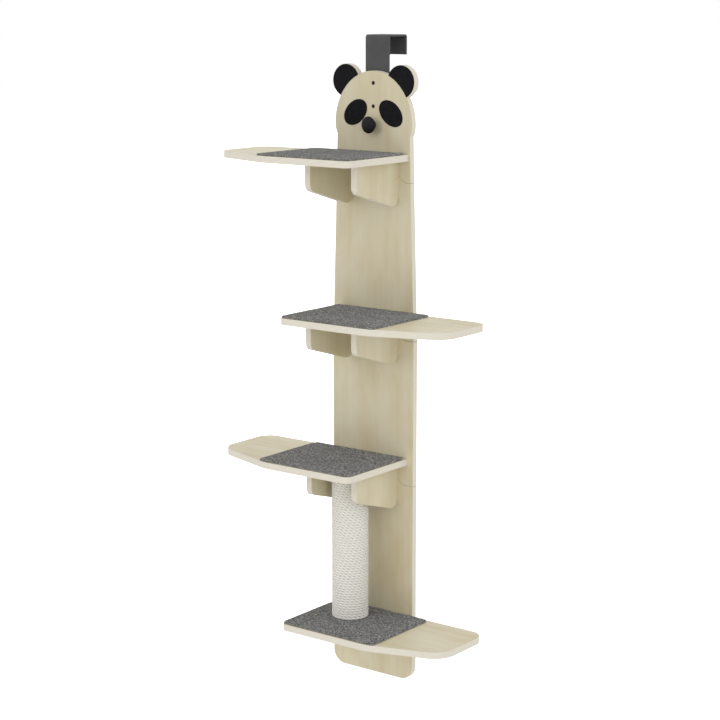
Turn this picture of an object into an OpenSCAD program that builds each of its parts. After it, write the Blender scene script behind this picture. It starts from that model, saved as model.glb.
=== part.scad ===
// Door hanging cat climber: four plywood shelves on a tall plywood board
// that hangs from the top edge of a door by a bent steel hook.
// Millimetres. The origin is the middle of the hook's seat on the door.
// X is across the door, +Y goes into the door, +Z is up.

/* [Board] */
// Thickness of the board's panels
board_t = 15; // [12:0.5:18]
// Width of the board below the second shelf
body_w = 230; // [224:1:250]
// How far the neck under the head stays inside the board's sides
neck_in = 13.5; // [12:0.5:16]
// How far the board at the first seam stays inside its sides further down
collar_in = 10.5; // [7:0.5:11.5]
// Drop of the board's lower end below the seat
board_drop = 1485; // [1460:1:1560]
// Length of the board below the fourth shelf's top
board_tail = 157; // [120:1:180]
// Radius of the two lower corners
lower_r = 32; // [10:1:50]
// Drop of each seam's shoulder below the shelf's underside
seam_drop = 48.5; // [44:0.5:56]
// Height of the tongue that rises above a seam's shoulder
tongue_h = 22.5; // [16:0.5:26]
// Width of the shoulder beside the tongue at the first seam
shoulder_w = 8.5; // [6:0.5:14]
// Width of each slope of the tongue
tongue_run = 39; // [34:1:44]
// Open joint between two panels
seam_gap = 0.3; // [0.2:0.1:0.6]

/* [Head] */
// Drop of the head's widest line below the seat
head_drop = 193; // [188:1:198]
// How far the cheeks stay inside the board's sides
head_in = 7; // [4:0.5:10]
// Height of the head above its widest line
head_up = 118.5; // [112:0.5:122]
// Height of the cheeks below the widest line
head_low = 74.5; // [68:0.5:80]
// Radius of the ears
ear_r = 37.3; // [34:0.1:40]
// How far the ears' outer edges stay inside the board's sides
ear_in = 1.1; // [0:0.1:5]
// Height of the ears' centres above the widest line
ear_up = 95.5; // [90:0.5:100]
// Bare rim left round each ear patch
ear_rim = 0.8; // [0.5:0.1:3]
// Distance of each eye patch from the middle
eye_x = 49.5; // [47:0.5:53]
// Height of the eye patches above the widest line
eye_up = 25; // [20:0.5:30]
// Long half axis of an eye patch
eye_a = 36.1; // [30:0.1:38]
// Short half axis of an eye patch
eye_b = 24.8; // [20:0.1:27]
// Lean of the eye patches towards the middle
eye_lean = 37.6; // [30:0.1:45]
// Thickness of the felt patches
felt_t = 1.5; // [1:0.1:3]

/* [Nose knob] */
// Diameter of the knob
knob_d = 38; // [30:0.5:42]
// Diameter of the knob's foot on the board
knob_foot_d = 17; // [14:0.5:22]
// Distance of the knob's rim from the board
knob_rim = 19.5; // [16:0.5:24]
// Height of the knob's domed front past its rim
knob_dome = 4; // [3:0.5:6]
// Drop of the knob below the head's widest line
knob_down = 1.2; // [0:0.2:6]

/* [Shelves] */
// Thickness of the shelves
shelf_t = 15; // [13:0.5:18]
// Depth of the shelves
shelf_depth = 222.5; // [220:0.5:240]
// How far a shelf's short end stays inside the board's side
shelf_in = 16.5; // [11:0.5:17]
// Distance from the middle to a shelf's long end
shelf_reach = 319; // [300:1:340]
// Distance from the middle to where the front edge turns back
tail_x = 142; // [130:1:200]
// Depth that the front edge has lost at the long end
tail_cut = 57.5; // [40:0.5:80]
// Radius of the short end's front corner
side_r = 18; // [6:1:24]
// Radius of the bend in the front edge
tail_bend_r = 120; // [60:5:150]
// Radius of the long end's front corner
tail_front_r = 55; // [40:1:60]
// Radius of the long end's back corner
tail_back_r = 35; // [20:1:42]
// Drop of the first shelf's top below the seat
shelf_1_drop = 257; // [255:1:262]
// Step from the first shelf down to the second
step_2 = 358; // [340:1:380]
// Step from the second shelf down to the third
step_3 = 338; // [320:1:360]

/* [Mats] */
// Thickness of the mats
mat_t = 4; // [3:0.5:6]
// Width of the mats
mat_w = 260; // [230:1:270]
// Bare strip in front of a mat
mat_front = 3.5; // [2:0.5:10]
// Corner radius of the mats
mat_r = 12; // [4:1:18]
// Bare strip beside a mat at the shelf's short end
mat_side = 2.8; // [2:0.2:6]
// Bare strip between a mat and the board
mat_back = 5; // [3:0.5:8]

/* [Brackets] */
// Thickness of the brackets
bracket_t = 15; // [13:0.5:18]
// Clear width between two brackets
bracket_gap = 114.6; // [108:0.2:120]
// Reach of a bracket from the board
bracket_depth = 156; // [145:1:180]
// Height of a bracket at the board
bracket_back_h = 108; // [100:1:125]
// Height of a bracket at its front
bracket_front_h = 62; // [52:1:75]
// Radius of a bracket's lower front corner
bracket_front_r = 18; // [6:1:24]
// Radius of a bracket's lower back corner
bracket_back_r = 22; // [6:1:26]

/* [Scratching post] */
// Distance of the post's axis from the board
post_y = 86; // [80:1:105]
// Outer diameter of the post's tube
core_d = 72; // [60:0.5:76]
// Wall of the tube
core_wall = 4; // [3:0.5:6]
// Thickness of the discs in the tube's ends
disc_t = 15; // [12:1:20]
// Diameter of the rope
rope_d = 6; // [4:0.5:12]
// Clearance between the rope and the tube
rope_clear = 0.5; // [0.4:0.1:1]
// Turns of rope that the winding shows
rope_turns = 24; // [12:1:24]
// Gap between two turns
rope_gap = 0.5; // [0.5:0.1:1]

/* [Door hook] */
// Thickness of the steel strap
strap_t = 3; // [2:0.25:4]
// Width of the strap
strap_w = 65.5; // [50:0.5:70]
// Door thickness that the hook takes, between its pads
slot_d = 58; // [40:1:64]
// Length of the flap behind the door
flap_drop = 40; // [30:1:60]
// Length of the strap's front leg below the lower hook bolt
leg_end = 23.5; // [16:0.5:26]
// Inner radius of the strap's bends
bend_r = 4; // [3:0.5:6]
// Thickness of the foam pads in the hook
pad_t = 2; // [1:0.5:4]
// Distance of the upper hook bolt below the head's top
bolt_down = 27; // [22:0.5:31]
// Distance between the two hook bolts
bolt_pitch = 52; // [46:0.5:54]

/* [Back pads] */
// Diameter of the round pads on the board's back
bumper_d = 28; // [20:1:36]
// Distance from a pad's centre to the board's edge
bumper_inset = 30; // [24:1:40]
// Height of the lower pads above the board's lower end
bumper_up = 55; // [40:1:90]
// Drop of the upper pads below the second seam
bumper_down = 60; // [40:1:120]

/* [Fasteners] */
// Diameter of the wood screws
screw_d = 4; // [3.5:0.5:5]
// Head diameter of the wood screws
screw_head_d = 8; // [7:0.5:9]
// Length of the wood screws
screw_len = 40; // [30:1:45]
// Diameter of the hook bolts
bolt_d = 5; // [4:0.5:6]
// Head diameter of the hook bolts
bolt_head_d = 9.2; // [8.5:0.1:11]
// Diameter of the post bolts
post_bolt_d = 8; // [6:0.5:8]
// Head diameter of the post bolts
post_bolt_head_d = 15; // [13:0.5:16]
// Outer diameter of the threaded inserts
insert_d = 11; // [10:0.5:14]
// Length of the threaded inserts
insert_len = 13; // [10:0.5:14]
// Diameter of the nose screw
nose_screw_d = 4; // [3:0.5:5]
// Depth of the nose screw in the knob
nose_screw_in = 14; // [8:1:17]
// Radial clearance of the fasteners in their bores
fit_clear = 0.1; // [0.05:0.05:0.2]
// Distance of the outer shelf screws from a shelf's short end
shelf_screw_in = 16.5; // [10:0.5:20]
// Drop of the upper bracket screws below the shelf's underside
bracket_screw_up = 12; // [10:0.5:14]
// Distance between a bracket's two rear screws
bracket_screw_pitch = 62; // [58:1:66]
// Distance of the first top screw from the board
top_screw_y = 45; // [43:1:55]
// Distance between a bracket's two top screws
top_screw_pitch = 85; // [60:1:90]

/* [Hidden] */

$fn = 96;
LEFT = -1;
RIGHT = 1;
ply_colour = [0.80, 0.76, 0.63];
mat_colour = [0.40, 0.40, 0.40];
black_colour = [0.09, 0.09, 0.10];
steel_colour = [0.33, 0.33, 0.34];
zinc_colour = [0.70, 0.70, 0.72];
rope_colour = [0.84, 0.82, 0.80];
foam_colour = [0.22, 0.22, 0.23];
card_colour = [0.66, 0.56, 0.42];
// How far a cutting shape runs past the face that it cuts
past = 1;
// Ring and side counts of the rope's tube
rings_per_turn = 24;
rope_sides = 6;
// Clearance of the winding at the shelf above and the mat below
rope_end_clear = 0.3;
// Share of a screw's length that is its tapered point
point_share = 0.12;
// Depth, width and length share of a cross recess
recess_depth = 1.2;
recess_w = 1;
recess_share = 0.55;
// Size and depth of a hexagon socket, as shares of the fastener's diameter
socket_share = 0.6;
socket_depth_share = 0.5;
// Height and diameter of the nose screw's pan head, as shares of its diameter
pan_h_share = 0.6;
pan_d_share = 1.9;

// The board's two faces, and the faces of the door it hangs on
door_y = -slot_d / 2;
back_y = door_y - pad_t - strap_t;
front_y = back_y - board_t;

// The board's widths from top to bottom, and what is set out from them
half_w = body_w / 2;
neck_w = body_w - 2 * neck_in;
collar_w = body_w - 2 * collar_in;
tongue_root_w = collar_w - 2 * shoulder_w;
tongue_top_w = tongue_root_w - 2 * tongue_run;
head_w = body_w - 2 * head_in;
ear_x = half_w - ear_in - ear_r;
shelf_side = half_w - shelf_in;
shelf_screw_x = shelf_side - shelf_screw_in;
mat_d = shelf_depth - mat_back - mat_front;

shelf_1_z = -shelf_1_drop;
shelf_2_z = shelf_1_z - step_2;
shelf_3_z = shelf_2_z - step_3;
shelf_4_z = board_tail - board_drop;
shelf_z = [shelf_1_z, shelf_2_z, shelf_3_z, shelf_4_z];
// Odd shelves reach to the left, even shelves to the right
shelf_turn = [LEFT, RIGHT, LEFT, RIGHT];
seam_z = [for (i = [0:2]) shelf_z[i] - shelf_t - seam_drop];
head_z = -head_drop;
lower_z = -board_drop;
knob_z = head_z - knob_down;
bolt_top_z = head_z + head_up - bolt_down;
bolt_z = [bolt_top_z, bolt_top_z - bolt_pitch];
leg_z = bolt_z[1] - leg_end;
bracket_x = (bracket_gap + bracket_t) / 2;
shelf_screws = [-shelf_screw_x, 0, shelf_screw_x];
bracket_screw_zs = [-bracket_screw_up, -bracket_screw_up - bracket_screw_pitch];
top_screw_ys = [-top_screw_y, -top_screw_y - top_screw_pitch];
mat_top_4 = shelf_z[3] + mat_t;
under_3 = shelf_z[2] - shelf_t;
post_centre_y = front_y - post_y;
post_bolt_len = shelf_t + insert_len;
bumper_t = strap_t + pad_t;
bumper_x = half_w - bumper_inset;
bumper_zs = [seam_z[1] - bumper_down, lower_z + bumper_up];

// Points of an arc about c, from angle a0 to a1 in n steps
function arc(c, r, a0, a1, n) =
    [for (i = [0:n]) let (a = a0 + (a1 - a0) * i / n) c + r * [cos(a), sin(a)]];
function unit(v) = v / norm(v);
function turned(a) = a > 180 ? a - 360 : (a < -180 ? a + 360 : a);
// A corner at p, rounded with radius r, between its neighbours
function fillet(before, p, after, r, n) =
    r <= 0 ? [p] :
    let (
        a = unit(before - p),
        b = unit(after - p),
        half = acos(a * b) / 2,
        c = p + unit(a + b) * r / sin(half),
        s = p + a * r / tan(half) - c,
        e = p + b * r / tan(half) - c,
        a0 = atan2(s[1], s[0]),
        sweep = turned(atan2(e[1], e[0]) - a0)
    )
    arc(c, r, a0, a0 + sweep, n);
// An outline from corners given as [x, y, radius]
function rounded(corners, n = 10) = [
    for (i = [0:len(corners) - 1])
        let (
            m = len(corners),
            q = corners[i],
            before = corners[(i + m - 1) % m],
            after = corners[(i + 1) % m]
        )
        each fillet([before[0], before[1]], [q[0], q[1]], [after[0], after[1]], q[2], n)
];
function ellipse_points(a, b_up, b_low, n) =
    [for (i = [0:n - 1]) let (t = 360 * i / n) [a * cos(t), (sin(t) > 0 ? b_up : b_low) * sin(t)]];

// Stands a flat outline, drawn in X and Z, up as part of the board
module as_board(y = back_y, t = board_t) {
    translate([0, y, 0])
        rotate([90, 0, 0])
            linear_extrude(t)
                children();
}

// Turns a shape drawn along -Z so that it points to -Y, or to +Y
module to_front() {
    rotate([-90, 0, 0])
        children();
}
module to_back() {
    rotate([90, 0, 0])
        children();
}

// The room of a countersunk fastener, or the fastener itself when clear is 0
module countersunk(d, head_d, length, clear = 0) {
    head_h = (head_d - d) / 2;
    mouth = clear > 0 ? past : 0;
    translate([0, 0, -length - clear])
        cylinder(d = d + 2 * clear, h = length + clear);
    translate([0, 0, -head_h - clear])
        cylinder(d1 = d + 2 * clear, d2 = head_d + 2 * clear, h = head_h + clear);
    if (mouth > 0)
        cylinder(d = head_d + 2 * clear, h = mouth);
}

module wood_screw() {
    head_h = (screw_head_d - screw_d) / 2;
    point = screw_len * point_share;
    difference() {
        rotate_extrude()
            polygon([
                [0, 0],
                [screw_head_d / 2, 0],
                [screw_d / 2, -head_h],
                [screw_d / 2, point - screw_len],
                [0, -screw_len]
            ]);
        for (turn = [0, 90])
            rotate([0, 0, turn])
                translate([0, 0, past / 2 - recess_depth / 2])
                    cube([screw_head_d * recess_share, recess_w, recess_depth + past], center = true);
    }
}

module socket_bolt(d, head_d, length) {
    difference() {
        rotate_extrude()
            polygon([
                [0, 0],
                [head_d / 2, 0],
                [d / 2, -(head_d - d) / 2],
                [d / 2, -length],
                [0, -length]
            ]);
        translate([0, 0, -d * socket_depth_share])
            cylinder(d = d * socket_share, h = d * socket_depth_share + past, $fn = 6);
    }
}

// Where the wood screws go: each child is drawn with its head's face at the
// origin, pointing along -Z
module at_shelf_rear(shelves) {
    for (i = shelves, x = shelf_screws)
        translate([x, back_y, shelf_z[i] - shelf_t / 2])
            to_front()
                children();
}
module at_bracket_rear(brackets, sides, heights) {
    for (i = brackets, side = sides, dz = heights)
        translate([side * bracket_x, back_y, shelf_z[i] - shelf_t + dz])
            to_front()
                children();
}
module at_bracket_top(brackets, sides) {
    for (i = brackets, side = sides, y = top_screw_ys)
        translate([side * bracket_x, front_y + y, shelf_z[i]])
            children();
}
module screw_room() {
    countersunk(screw_d, screw_head_d, screw_len, fit_clear);
}

// Half of a seam's tongue runs from its root to its flat top in two arcs
function ogee() =
    let (
        r = (tongue_run * tongue_run + tongue_h * tongue_h) / (4 * tongue_h),
        bend = asin(tongue_run / (2 * r)),
        root = tongue_root_w / 2
    )
    concat(
        arc([root, r], r, -90, -90 - bend, 8),
        arc([tongue_top_w / 2, tongue_h - r], r, 90 - bend, 90, 8)
    );
module tongue(z) {
    half = ogee();
    n = len(half);
    translate([0, z])
        polygon(concat(
            [[tongue_root_w / 2, -past]],
            half,
            [for (i = [n - 1:-1:0]) [-half[i][0], half[i][1]]],
            [[-tongue_root_w / 2, -past]]
        ));
}

// A stretch of board between two heights, with its own width at each
module stretch(z_top, w_top, z_low, w_low) {
    polygon([
        [w_top / 2, z_top],
        [-w_top / 2, z_top],
        [-w_low / 2, z_low],
        [w_low / 2, z_low]
    ]);
}

module head_outline() {
    translate([0, head_z])
        polygon(ellipse_points(head_w / 2, head_up, head_low, 96));
    for (side = [LEFT, RIGHT])
        translate([side * ear_x, head_z + ear_up])
            circle(r = ear_r);
    stretch(head_z, neck_w, seam_z[0], collar_w);
}

module head_panel() {
    color(ply_colour)
        difference() {
            as_board()
                difference() {
                    head_outline();
                    tongue(seam_z[0]);
                }
            for (z = bolt_z)
                translate([0, front_y, z])
                    to_back()
                        countersunk(bolt_d, bolt_head_d, board_t + past, fit_clear);
            translate([0, front_y - past, knob_z])
                rotate([-90, 0, 0])
                    cylinder(d = nose_screw_d + 2 * fit_clear, h = board_t + 2 * past);
            at_shelf_rear([0])
                screw_room();
            at_bracket_rear([0], [LEFT, RIGHT], [bracket_screw_zs[0]])
                screw_room();
        }
}

// A panel that hangs from the seam above it, and carries shelf i
module hung_panel(i, w_top, w_low) {
    color(ply_colour)
        difference() {
            as_board()
                difference() {
                    union() {
                        stretch(seam_z[i - 1] - seam_gap, w_top, seam_z[i], w_low);
                        tongue(seam_z[i - 1] - seam_gap);
                    }
                    tongue(seam_z[i]);
                }
            at_shelf_rear([i])
                screw_room();
            at_bracket_rear([i - 1], [LEFT, RIGHT], [bracket_screw_zs[1]])
                screw_room();
            at_bracket_rear([i], [LEFT, RIGHT], [bracket_screw_zs[0]])
                screw_room();
        }
}
module upper_panel() {
    hung_panel(1, collar_w, body_w);
}
module middle_panel() {
    hung_panel(2, body_w, body_w);
}
module lower_panel() {
    top = seam_z[2] - seam_gap;
    color(ply_colour)
        difference() {
            as_board() {
                polygon(rounded([
                    [half_w, top, 0],
                    [-half_w, top, 0],
                    [-half_w, lower_z, lower_r],
                    [half_w, lower_z, lower_r]
                ]));
                tongue(top);
            }
            at_shelf_rear([3])
                screw_room();
            at_bracket_rear([2], [LEFT, RIGHT], [bracket_screw_zs[1]])
                screw_room();
        }
}

module ear_patch(side) {
    color(black_colour)
        as_board(front_y, felt_t)
            difference() {
                translate([side * ear_x, head_z + ear_up])
                    circle(r = ear_r - ear_rim);
                translate([0, head_z])
                    polygon(ellipse_points(head_w / 2, head_up, head_low, 96));
            }
}
module eye_patch(side) {
    color(black_colour)
        as_board(front_y, felt_t)
            translate([side * eye_x, head_z + eye_up])
                rotate(side * -eye_lean)
                    polygon(ellipse_points(eye_a, eye_b, eye_b, 60));
}

module nose_knob() {
    rim_r = knob_d / 2;
    foot_r = knob_foot_d / 2;
    // The dome's sphere passes through the rim and the front's middle
    dome_r = (rim_r * rim_r + knob_dome * knob_dome) / (2 * knob_dome);
    dome_a = asin(rim_r / dome_r);
    edge = 1.2;
    color(black_colour)
        translate([0, front_y, knob_z])
            to_back()
                difference() {
                    rotate_extrude()
                        polygon(concat(
                            [[0, 0], [foot_r, 0], [foot_r, edge], [rim_r, knob_rim - edge]],
                            arc([0, knob_rim + knob_dome - dome_r], dome_r, 90 - dome_a, 90, 12)
                        ));
                    translate([0, 0, -past])
                        cylinder(d = nose_screw_d + 2 * fit_clear, h = nose_screw_in + past + fit_clear);
                }
}

module nose_screw() {
    pan_d = nose_screw_d * pan_d_share;
    pan_h = nose_screw_d * pan_h_share;
    shank = board_t + nose_screw_in;
    color(zinc_colour)
        translate([0, back_y, knob_z])
            to_front()
                difference() {
                    rotate_extrude()
                        polygon([
                            [0, pan_h],
                            [pan_d / 2 - pan_h / 3, pan_h],
                            [pan_d / 2, pan_h / 2],
                            [pan_d / 2, 0],
                            [nose_screw_d / 2, 0],
                            [nose_screw_d / 2, -shank],
                            [0, -shank]
                        ]);
                    for (turn = [0, 90])
                        rotate([0, 0, turn])
                            translate([0, 0, pan_h])
                                cube([pan_d * recess_share, recess_w, recess_depth * 2], center = true);
                }
}

// Outline of a shelf seen from above, with the board at y = 0
function shelf_corners() = [
    [-shelf_side, 0, 0],
    [-shelf_side, -shelf_depth, side_r],
    [tail_x, -shelf_depth, tail_bend_r],
    [shelf_reach, tail_cut - shelf_depth, tail_front_r],
    [shelf_reach, 0, tail_back_r]
];
module shelf(i) {
    color(ply_colour)
        difference() {
            translate([0, front_y, shelf_z[i] - shelf_t])
                linear_extrude(shelf_t)
                    if (shelf_turn[i] == LEFT)
                        mirror([1, 0])
                            polygon(rounded(shelf_corners()));
                    else
                        polygon(rounded(shelf_corners()));
            at_shelf_rear([i])
                screw_room();
            if (i < 3)
                at_bracket_top([i], [LEFT, RIGHT])
                    screw_room();
            if (i == 2)
                translate([0, post_centre_y, shelf_z[2]])
                    post_bolt_room();
            if (i == 3)
                translate([0, post_centre_y, shelf_z[3] - shelf_t])
                    mirror([0, 0, 1])
                        post_bolt_room();
        }
}

module mat(i) {
    x0 = -shelf_side + mat_side;
    y1 = -mat_back;
    corners = [
        [x0, y1, mat_r],
        [x0, y1 - mat_d, mat_r],
        [x0 + mat_w, y1 - mat_d, mat_r],
        [x0 + mat_w, y1, mat_r]
    ];
    color(mat_colour)
        difference() {
            translate([0, front_y, shelf_z[i]])
                linear_extrude(mat_t)
                    if (shelf_turn[i] == LEFT)
                        mirror([1, 0])
                            polygon(rounded(corners));
                    else
                        polygon(rounded(corners));
            // The post's tube stands on the wood through this cut-out
            if (i == 3)
                translate([0, post_centre_y, shelf_z[3] - past])
                    cylinder(d = core_d + 2 * rope_clear, h = mat_t + 2 * past);
        }
}

module bracket(i, side) {
    color(ply_colour)
        difference() {
            translate([side * bracket_x - bracket_t / 2, front_y, shelf_z[i] - shelf_t])
                rotate([90, 0, 90])
                    linear_extrude(bracket_t)
                        polygon(rounded([
                            [0, 0, 0],
                            [-bracket_depth, 0, 0],
                            [-bracket_depth, -bracket_front_h, bracket_front_r],
                            [0, -bracket_back_h, bracket_back_r]
                        ]));
            at_bracket_rear([i], [side], bracket_screw_zs)
                screw_room();
            at_bracket_top([i], [side])
                screw_room();
        }
}

module shelf_rear_screws() {
    color(zinc_colour)
        at_shelf_rear([0:3])
            wood_screw();
}
module bracket_rear_screws() {
    color(zinc_colour)
        at_bracket_rear([0:2], [LEFT, RIGHT], bracket_screw_zs)
            wood_screw();
}
module bracket_top_screws() {
    color(zinc_colour)
        at_bracket_top([0:2], [LEFT, RIGHT])
            wood_screw();
}

module post_bolt_room() {
    countersunk(post_bolt_d, post_bolt_head_d, post_bolt_len, fit_clear);
}
module post_tube() {
    color(card_colour)
        translate([0, post_centre_y, shelf_z[3]])
            difference() {
                cylinder(d = core_d, h = under_3 - shelf_z[3]);
                translate([0, 0, -past])
                    cylinder(d = core_d - 2 * core_wall, h = under_3 - shelf_z[3] + 2 * past);
            }
}
// A disc that closes the tube's end at height z and reaches dir * disc_t into it
module post_disc(z, dir) {
    color(ply_colour)
        translate([0, post_centre_y, z + (dir < 0 ? -disc_t : 0)])
            difference() {
                cylinder(d = core_d - 2 * core_wall - 2 * fit_clear, h = disc_t);
                translate([0, 0, -past])
                    cylinder(d = insert_d + 2 * fit_clear, h = disc_t + 2 * past);
            }
}
module post_inserts() {
    color(zinc_colour)
        for (z = [shelf_z[3], under_3 - insert_len])
            translate([0, post_centre_y, z])
                difference() {
                    cylinder(d = insert_d, h = insert_len);
                    translate([0, 0, -past])
                        cylinder(d = post_bolt_d + 2 * fit_clear, h = insert_len + 2 * past);
                }
}
module post_bolts() {
    color(zinc_colour) {
        translate([0, post_centre_y, shelf_z[2]])
            socket_bolt(post_bolt_d, post_bolt_head_d, post_bolt_len);
        translate([0, post_centre_y, shelf_z[3] - shelf_t])
            rotate([180, 0, 0])
                socket_bolt(post_bolt_d, post_bolt_head_d, post_bolt_len);
    }
}

// The rope's tube: a six-sided section that climbs round the post, as one
// unbroken solid with a straight stretch of one diameter at each end
rope_low = mat_top_4 + rope_end_clear;
rope_room = under_3 - rope_end_clear - rope_low;
rope_pitch = (rope_room + rope_gap) / (rope_turns + 1);
rope_half_h = (rope_pitch - rope_gap) / 2;
rope_axis_r = core_d / 2 + rope_clear + rope_d / 2;
// Inner and outer flats, and a point above and below, of the section
rope_section = [
    [rope_d / 2, rope_half_h / 2],
    [0, rope_half_h],
    [-rope_d / 2, rope_half_h / 2],
    [-rope_d / 2, -rope_half_h / 2],
    [0, -rope_half_h],
    [rope_d / 2, -rope_half_h / 2]
];
rope_rings = rope_turns * rings_per_turn;
function rope_turn_angle(i) = 360 * i / rings_per_turn;
// Ring i of the winding, moved along its own tangent by ahead
function rope_ring(i, ahead) =
    let (
        a = rope_turn_angle(i),
        out = [cos(a), sin(a), 0],
        along = [-sin(a), cos(a), 0],
        z = rope_low + rope_half_h + rope_pitch * i / rings_per_turn
    )
    [for (q = rope_section) (rope_axis_r + q[0]) * out + ahead * along + [0, 0, z + q[1]]];
function rope_points() = concat(
    [rope_ring(0, -rope_d)],
    [for (i = [0:rope_rings]) rope_ring(i, 0)],
    [rope_ring(rope_rings, rope_d)]
);
// Least distance between the points of rings that lie about a turn apart
function rope_least_gap(rings) = min([
    for (i = [0:len(rings) - rings_per_turn + 1], k = [rings_per_turn - 2:rings_per_turn + 2])
        if (i + k < len(rings))
            each [for (p = rings[i], q = rings[i + k]) norm(p - q)]
]);
module rope_winding() {
    rings = rope_points();
    last = len(rings) - 1;
    s = rope_sides;
    echo(least_rope_gap = rope_least_gap(rings));
    sides = [
        for (i = [0:last - 1], j = [0:s - 1])
            let (a = i * s + j, b = i * s + (j + 1) % s)
            each [[a, a + s, b], [b, a + s, b + s]]
    ];
    first_cap = [for (j = [1:s - 2]) [0, j, j + 1]];
    last_cap = [for (j = [1:s - 2]) [last * s, last * s + j + 1, last * s + j]];
    color(rope_colour)
        translate([0, post_centre_y, 0])
            polyhedron([for (ring = rings) each ring], concat(sides, first_cap, last_cap));
}

// The strap's side view: Y to the right and Z up
module u_shape(half, top, low_front, low_back, r) {
    translate([-half, low_front])
        square([half, top - r - low_front]);
    translate([0, low_back])
        square([half, top - r - low_back]);
    translate([-half + r, top - r])
        square([2 * half - 2 * r, r]);
    for (side = [LEFT, RIGHT])
        translate([side * (half - r), top - r])
            circle(r = r);
}
module over_door_hook() {
    inner = slot_d / 2 + pad_t;
    color(steel_colour)
        difference() {
            translate([-strap_w / 2, 0, 0])
                rotate([90, 0, 90])
                    linear_extrude(strap_w)
                        difference() {
                            u_shape(inner + strap_t, pad_t + strap_t, leg_z, -flap_drop, bend_r + strap_t);
                            u_shape(inner, pad_t, leg_z - past, leg_z - past, bend_r);
                        }
            for (z = bolt_z)
                translate([0, back_y - past, z])
                    rotate([-90, 0, 0])
                        cylinder(d = bolt_d + 2 * fit_clear, h = strap_t + 2 * past);
        }
}
// Flat foam pads: one under the strap's top and one on each side of the door
module hook_pads() {
    top_half = slot_d / 2 + pad_t - bend_r;
    leg_top = pad_t - bend_r;
    leg_h = flap_drop + leg_top;
    color(foam_colour) {
        translate([-strap_w / 2, -top_half, 0])
            cube([strap_w, 2 * top_half, pad_t]);
        translate([-strap_w / 2, door_y - pad_t, -flap_drop])
            cube([strap_w, pad_t, leg_h]);
        translate([-strap_w / 2, -door_y, -flap_drop])
            cube([strap_w, pad_t, leg_h]);
    }
}
module hook_bolts() {
    color(black_colour)
        for (z = bolt_z)
            translate([0, front_y, z])
                to_back()
                    socket_bolt(bolt_d, bolt_head_d, board_t + strap_t);
}

module back_pads() {
    color(foam_colour)
        for (z = bumper_zs, side = [LEFT, RIGHT])
            translate([side * bumper_x, back_y, z])
                rotate([-90, 0, 0])
                    cylinder(d = bumper_d, h = bumper_t);
}

over_door_hook();
hook_pads();
hook_bolts();
head_panel();
upper_panel();
middle_panel();
lower_panel();
ear_patch(LEFT);  // left_ear_patch
ear_patch(RIGHT);  // right_ear_patch
eye_patch(LEFT);  // left_eye_patch
eye_patch(RIGHT);  // right_eye_patch
nose_knob();
nose_screw();
shelf(0);  // shelf_1
shelf(1);  // shelf_2
shelf(2);  // shelf_3
shelf(3);  // shelf_4
mat(0);  // mat_1
mat(1);  // mat_2
mat(2);  // mat_3
mat(3);  // mat_4
bracket(0, LEFT);  // bracket_1_left
bracket(0, RIGHT);  // bracket_1_right
bracket(1, LEFT);  // bracket_2_left
bracket(1, RIGHT);  // bracket_2_right
bracket(2, LEFT);  // bracket_3_left
bracket(2, RIGHT);  // bracket_3_right
shelf_rear_screws();
bracket_rear_screws();
bracket_top_screws();
post_tube();
post_disc(under_3, -1);  // post_top_disc
post_disc(shelf_z[3], 1);  // post_bottom_disc
post_inserts();
post_bolts();
rope_winding();
back_pads();
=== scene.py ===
"""Looks of a door hanging cat climber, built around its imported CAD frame.

Plywood, steel, foam and most screws are copies of CAD solids with rounded edges.
Mats, felt patches, the knob and the post's rope are modelled here in full. The
post's tube, inserts and bolts and the knob's screw keep the CAD's own mesh.
Everything is in metres, in the frame of the CAD.
"""

from __future__ import annotations

import logging
import math
from dataclasses import dataclass
from enum import Enum
from functools import reduce
from typing import Iterable, Sequence

import bmesh
import bpy
import numpy as np
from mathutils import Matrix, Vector, geometry, noise
from mathutils.bvhtree import BVHTree


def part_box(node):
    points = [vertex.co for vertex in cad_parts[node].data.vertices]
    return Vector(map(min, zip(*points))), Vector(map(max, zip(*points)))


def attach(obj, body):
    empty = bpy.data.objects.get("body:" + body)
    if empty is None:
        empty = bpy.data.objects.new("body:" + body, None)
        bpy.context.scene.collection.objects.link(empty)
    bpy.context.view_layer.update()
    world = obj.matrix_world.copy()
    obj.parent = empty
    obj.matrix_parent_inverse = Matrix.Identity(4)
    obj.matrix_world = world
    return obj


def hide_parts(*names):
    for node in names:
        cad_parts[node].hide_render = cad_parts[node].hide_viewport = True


log = logging.getLogger("climber")
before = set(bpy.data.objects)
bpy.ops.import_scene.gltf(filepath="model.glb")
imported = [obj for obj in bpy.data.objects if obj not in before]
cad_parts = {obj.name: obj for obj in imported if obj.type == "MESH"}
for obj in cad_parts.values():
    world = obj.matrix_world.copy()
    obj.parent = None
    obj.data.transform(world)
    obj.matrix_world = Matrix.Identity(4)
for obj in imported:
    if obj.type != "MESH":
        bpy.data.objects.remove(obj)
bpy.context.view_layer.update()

MM = 0.001
BODY = "root"
UP = Vector((0, 0, 1))
FRONT = Vector((0, -1, 0))
BACK = Vector((0, 1, 0))
RIGHT = Vector((1, 0, 0))

PLY_DEPTH = "ply_depth"
# Face mask for painted shade in the grooves between the board's panels
SEAM_SHADE = "seam_cut"
ROPE_MAP = "rope_map"
ROPE_SIDE = "rope_side"
STRANDS = 3

Point2 = tuple[float, float]
Point3 = tuple[float, float, float]
Colour = tuple[float, float, float, float]
Socket = bpy.types.NodeSocket
Inputs = dict[str | int, object]
Ring = list[bmesh.types.BMVert]


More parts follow.
